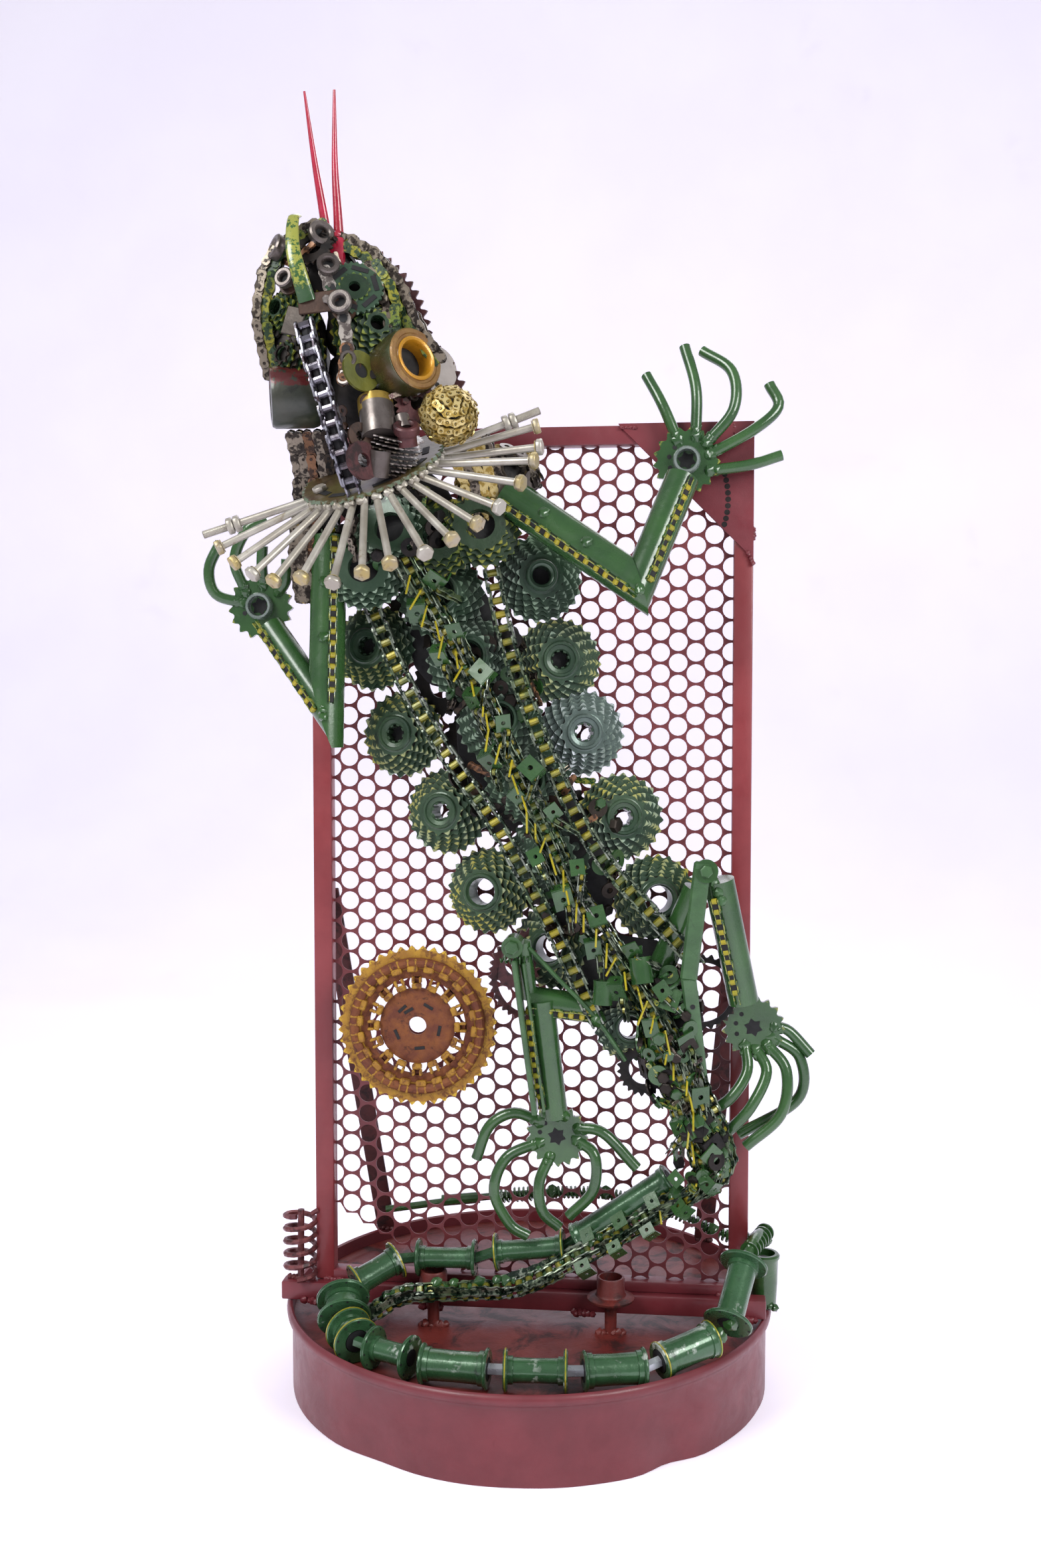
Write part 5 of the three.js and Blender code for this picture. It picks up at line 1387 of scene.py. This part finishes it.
string_of_hubs("tail_hubs_over_crossbar", "tail_hubs_crossbar", [
    ((172, -84, 268), (64, -80, 192), 18, 15), ((50, -80, 182), (-32, -80, 172), 21, 12),
    ((-54, -80, 164), (-124, -80, 162), 21, 12), ((-146, -88, 162), (-190, -118, 142), 22, 15)])
string_of_hubs("tail_hubs_round_the_turn", "tail_hubs_turn", [
    ((-200, -138, 134), (-192, -166, 120), 30, 20), ((-186, -176, 114), (-170, -200, 110), 26, 18),
    ((-152, -206, 107), (-104, -228, 107), 23, 12)])
string_of_hubs("tail_hubs_along_front", "tail_hubs_front", [
    ((-92, -238, 106), (-18, -244, 106), 21, 16.5), ((-2, -244, 106), (66, -240, 106), 22, 13),
    ((82, -238, 106), (148, -222, 106), 20.5, 16.5), ((162, -210, 108), (220, -172, 120), 20, 17.5)],
               bare=True)
string_of_hubs("tail_hub_rising", "tail_hub_rise", [((236, -162, 132), (256, -104, 180), 27, 16)])
# ---- Tail link ------------------------------------------------------------------------------------
# A bent rod from the last hub back past the right post, threaded with seven washers.
# Green enamel all over, pooled thickly at both welds.
parts = new_parts()
put(parts, rod([(255, -106, 176), (266, -82, 194), (276, -52, 196), (284, -26, 184)], 6, 12, 6))
put(parts, turned([(0, 0), (14, 0), (8, 14), (0, 14)], 28), stand((255, -107, 175), (0.25, 0.8, 0.55)))
for k in range(7):
    put(parts, washer, stand(Vector((262, -90, 188)) + Vector((3.4, 9, 0.6)) * k, (0.35, 0.9, 0.1),
                             size=0.9))
weld(parts, (226, -172, 122), (240, -164, 136), 9)
weld(parts, (262, -88, 190), (284, -30, 184), 7)
piece("tail_link_behind_post", parts, [enamel], "green_enamel")

# ---- Tail cup -------------------------------------------------------------------------------------
# A turned cup with a square drive in its mouth, standing on the drum's rim behind the crossbar.
# The same green enamel, brushed over the weld at its foot.
cup_at = Vector((282, -24, rim_top))
parts = new_parts()
put(parts, turned([(0, 0), (15, 0), (16.5, 30), (17, 55), (19, 58), (19, 61), (17, 63), (13.5, 63),
                   (13, 40), (0, 40)],
                  32), Matrix.Translation(cup_at))
put(parts, bar((-7, -7, 36), (7, 7, 58), 1.5, 1), Matrix.Translation(cup_at))
put(parts, disc(4, 58.2, 58.6, 12), Matrix.Translation(cup_at), 1)
weld(parts, cup_at + Vector((-16, -8, 2)), cup_at + Vector((12, -12, 2)), 5)
piece("tail_cup_with_insert", parts, [enamel, hole_black], "green_enamel", "tail_cup")

# ---- Tail chain -----------------------------------------------------------------------------------
# Two or three strands of cycle chain lying along the hubs, with punched tabs near the root.
# Wound loosely and caked with green enamel; the rollers and a few nails are yellow.
tail_route = [(175, -108, 250), (143, -104, 228), (106, -104, 203), (68, -104, 182), (28, -104, 158),
              (-8, -106, 144), (-52, -108, 140), (-97, -112, 138), (-134, -120, 136), (-160, -134, 124)]
parts = new_parts()
lay(parts, tail_route, wide_chain, cycle_pitch, (0.1, -0.5, 0.8), 0.5)
lay(parts, [(x + 2, y - 3, z - 9) for x, y, z in tail_route], cycle_chain, cycle_pitch, (0, -1, 0), 0.6)
lay(parts, [(x, y + 9, z + 8) for x, y, z in tail_route[:6]], cycle_chain, cycle_pitch, (0, -0.3, 1), 0.8)
for k, (at, way) in enumerate(along([(205, -112, 285)] + tail_route[:4], 21)):
    side = 1 if k % 2 else -1
    across = way.cross(FRONT).normalized() * side
    spot = at + across * dice.uniform(15, 22) + Vector((0, dice.uniform(-16, -8), 0))
    put(parts, angle_mesh, stand(spot, FRONT + across * dice.uniform(0.2, 1.4), way,
                                 dice.uniform(0.65, 0.85)), 2)
    if k % 3 == 0:
        root = at + Vector((0, -4, 2))
        put(parts, rod([root, root + Vector((dice.uniform(-8, 8), -12, -14))], 1.2, 6, 20), tone=3)
for at, _ in along(tail_route, 10):
    put(parts, lumps[dice.randrange(4)],
        stand(at + Vector((0, 4, dice.uniform(-6, 6))), size=dice.uniform(4, 7)), 2)
piece("tail_chain_and_tabs", parts, [chain_plate, roller_yellow, enamel, nail_yellow], "green_enamel",
      "tail_chain")

# ---- Tail springs ---------------------------------------------------------------------------------
# Behind the panel the tail thins out to coil springs hooked end to end, and then to a plain rod.
# Sprayed with the last of the green enamel.
parts = new_parts()
rear = [Vector(p) for p in ((276, -4, 172), (250, 6, 168), (223, 8, 176), (167, 12, 200), (93, 20, 214),
                            (27, 20, 213))]
for start, end in zip(rear, rear[1:]):
    put(parts, coil(start, end, 6.5, 1.6, (end - start).length / 5.2, 5, 9))
    put(parts, rod([start, end], 2.4, 6, 30))
    put(parts, lumps[1], stand(end, size=8.5))
put(parts, rod([(30, 20, 213), (-63, 20, 203), (-179, 10, 187)], 4.5, 10, 14))
put(parts, rod([(-63, 20, 203), (-110, 18, 198)], 7, 10, 14))
put(parts, coil((-40, 20, 206), (10, 20, 211), 8, 1.6, 9, 5, 9))
piece("tail_springs_behind", parts, [enamel], "green_enamel", "tail_rear")

# ---- Pelvis --------------------------------------------------------------------------------------
# Short tubes, links and rings packed between the hips and tail, where the chains run together.
# Loose bits tacked in wherever there was room, all flooded with green enamel.
parts = new_parts()
# black masses behind the chains: painted shade, so that the trunk is not seen through
for seed, (centre, radii) in enumerate((
        ((178, -92, 410), (26, 16, 60)), ((122, -86, 500), (60, 12, 48)), ((60, -84, 620), (46, 10, 80)),
        ((-34, -76, 790), (44, 9, 90)), ((-86, -76, 900), (50, 9, 70))), 11):
    core(parts, centre, radii, HOLE, seed)
for start, end, radius in (((137, -134, 530), (141, -138, 503), 12.5),
                           ((97, -134, 503), (96, -136, 478), 11)):
    put(parts, tube(start, end, radius), tone=GREEN)
    put(parts, disc(radius + 0.4, 0, 1.6, 28, radius - 2.5),
        stand(start, Vector(start) - Vector(end)), GREEN)
put(parts, coil((168, -128, 516), (196, -118, 440), 11, 2.2, 5), tone=GREEN)
put(parts, cog(22, 30, 3, 16, 4.2, 0.6), stand((140, -104, 398), (-0.3, -1, 0)), DARK)
strew(parts, (172, -118, 440), (34, 22, 80), 70, [small_link, washer, nut_head, angle_mesh],
      [GREEN, GREEN, DARK, OILY],
      0.9)
strew(parts, (206, -112, 318), (26, 20, 46), 36, [small_link, washer, nut_head, angle_mesh],
      [GREEN, GREEN, DARK], 0.9)
strew(parts, (60, -96, 640), (50, 14, 100), 50, [small_link, washer, nut_head],
      [DARK, OILY, BROWN, GREEN], 1.0)
strew(parts, (-30, -96, 790), (52, 14, 110), 50, [small_link, washer, nut_head],
      [DARK, OILY, BROWN, GREEN], 1.0)
piece("pelvis_scrap", parts, skull_finishes, "green_enamel")

# ---- Camera, floor and light ---------------------------------------------------------------------
# A plain pale floor under soft, even light, and the camera at the height of the lizard's belly.
camera_data = bpy.data.cameras.new("camera")
camera_data.sensor_fit = "VERTICAL"
camera_data.sensor_height = 36
camera_data.lens = 34.55
camera = bpy.data.objects.new("camera", camera_data)
camera.location = (0.1987, -1.7903, 0.8110)
towards = Vector((0.0086, -0.0400, 0.7187)) - camera.location
camera.rotation_euler = towards.to_track_quat("-Z", "Y").to_euler()
scene.collection.objects.link(camera)
scene.camera = camera

# one pale sheet: a floor that sweeps up into the wall behind, faintly lit from within
pale = finish("pale_sweep", "#efebf6", "#f3f0f9", "#efebf6", "#eae5f2", 0.75, 0.0, 400, 30, 0.05, 0.0, 0.6)
glow = pale.node_tree.nodes["Principled BSDF"].inputs
glow["Emission Color"].default_value = linear("#f1edfb")
glow["Emission Strength"].default_value = 0.32
bm = bmesh.new()
sweep = [(-6, 0)] + [(2.2 + 1.6 * math.sin(a),
                      1.6 - 1.6 * math.cos(a)) for a in (math.pi * k / 48 for k in range(25))]
sweep.append((3.8, 7))
line = [bm.verts.new((-7, y, z - 0.0005)) for y, z in sweep]
edges = [bm.edges.new(pair) for pair in zip(line, line[1:])]
grown = bmesh.ops.extrude_edge_only(bm, edges=edges)["geom"]
bmesh.ops.translate(bm, verts=[g for g in grown if isinstance(g, bmesh.types.BMVert)], vec=(14, 0, 0))
floor_mesh = shape_from(bm, 0.0001)
floor_mesh.shade_smooth()
floor_mesh.materials.append(pale)
floor = bpy.data.objects.new("floor", floor_mesh)
scene.collection.objects.link(floor)

world = bpy.data.worlds.new("studio")
world.use_nodes = True
world.node_tree.nodes["Background"].inputs["Color"].default_value = linear("#f4f1fb")
world.node_tree.nodes["Background"].inputs["Strength"].default_value = 0.4
scene.world = world
for place, size, power in (((-1.6, -2.0, 2.6), 1.3, 69), ((1.9, -1.7, 1.9), 1.1, 46),
                           ((0.3, 1.6, 2.4), 2.0, 20)):
    lamp = bpy.data.lights.new("soft_box", "AREA")
    lamp.size = size
    lamp.energy = power
    lamp_object = bpy.data.objects.new("soft_box", lamp)
    lamp_object.location = place
    lamp_object.rotation_euler = (Vector((0, 0, 0.7)) - Vector(place)).to_track_quat("-Z", "Y").to_euler()
    scene.collection.objects.link(lamp_object)
scene.view_settings.view_transform = "Standard"
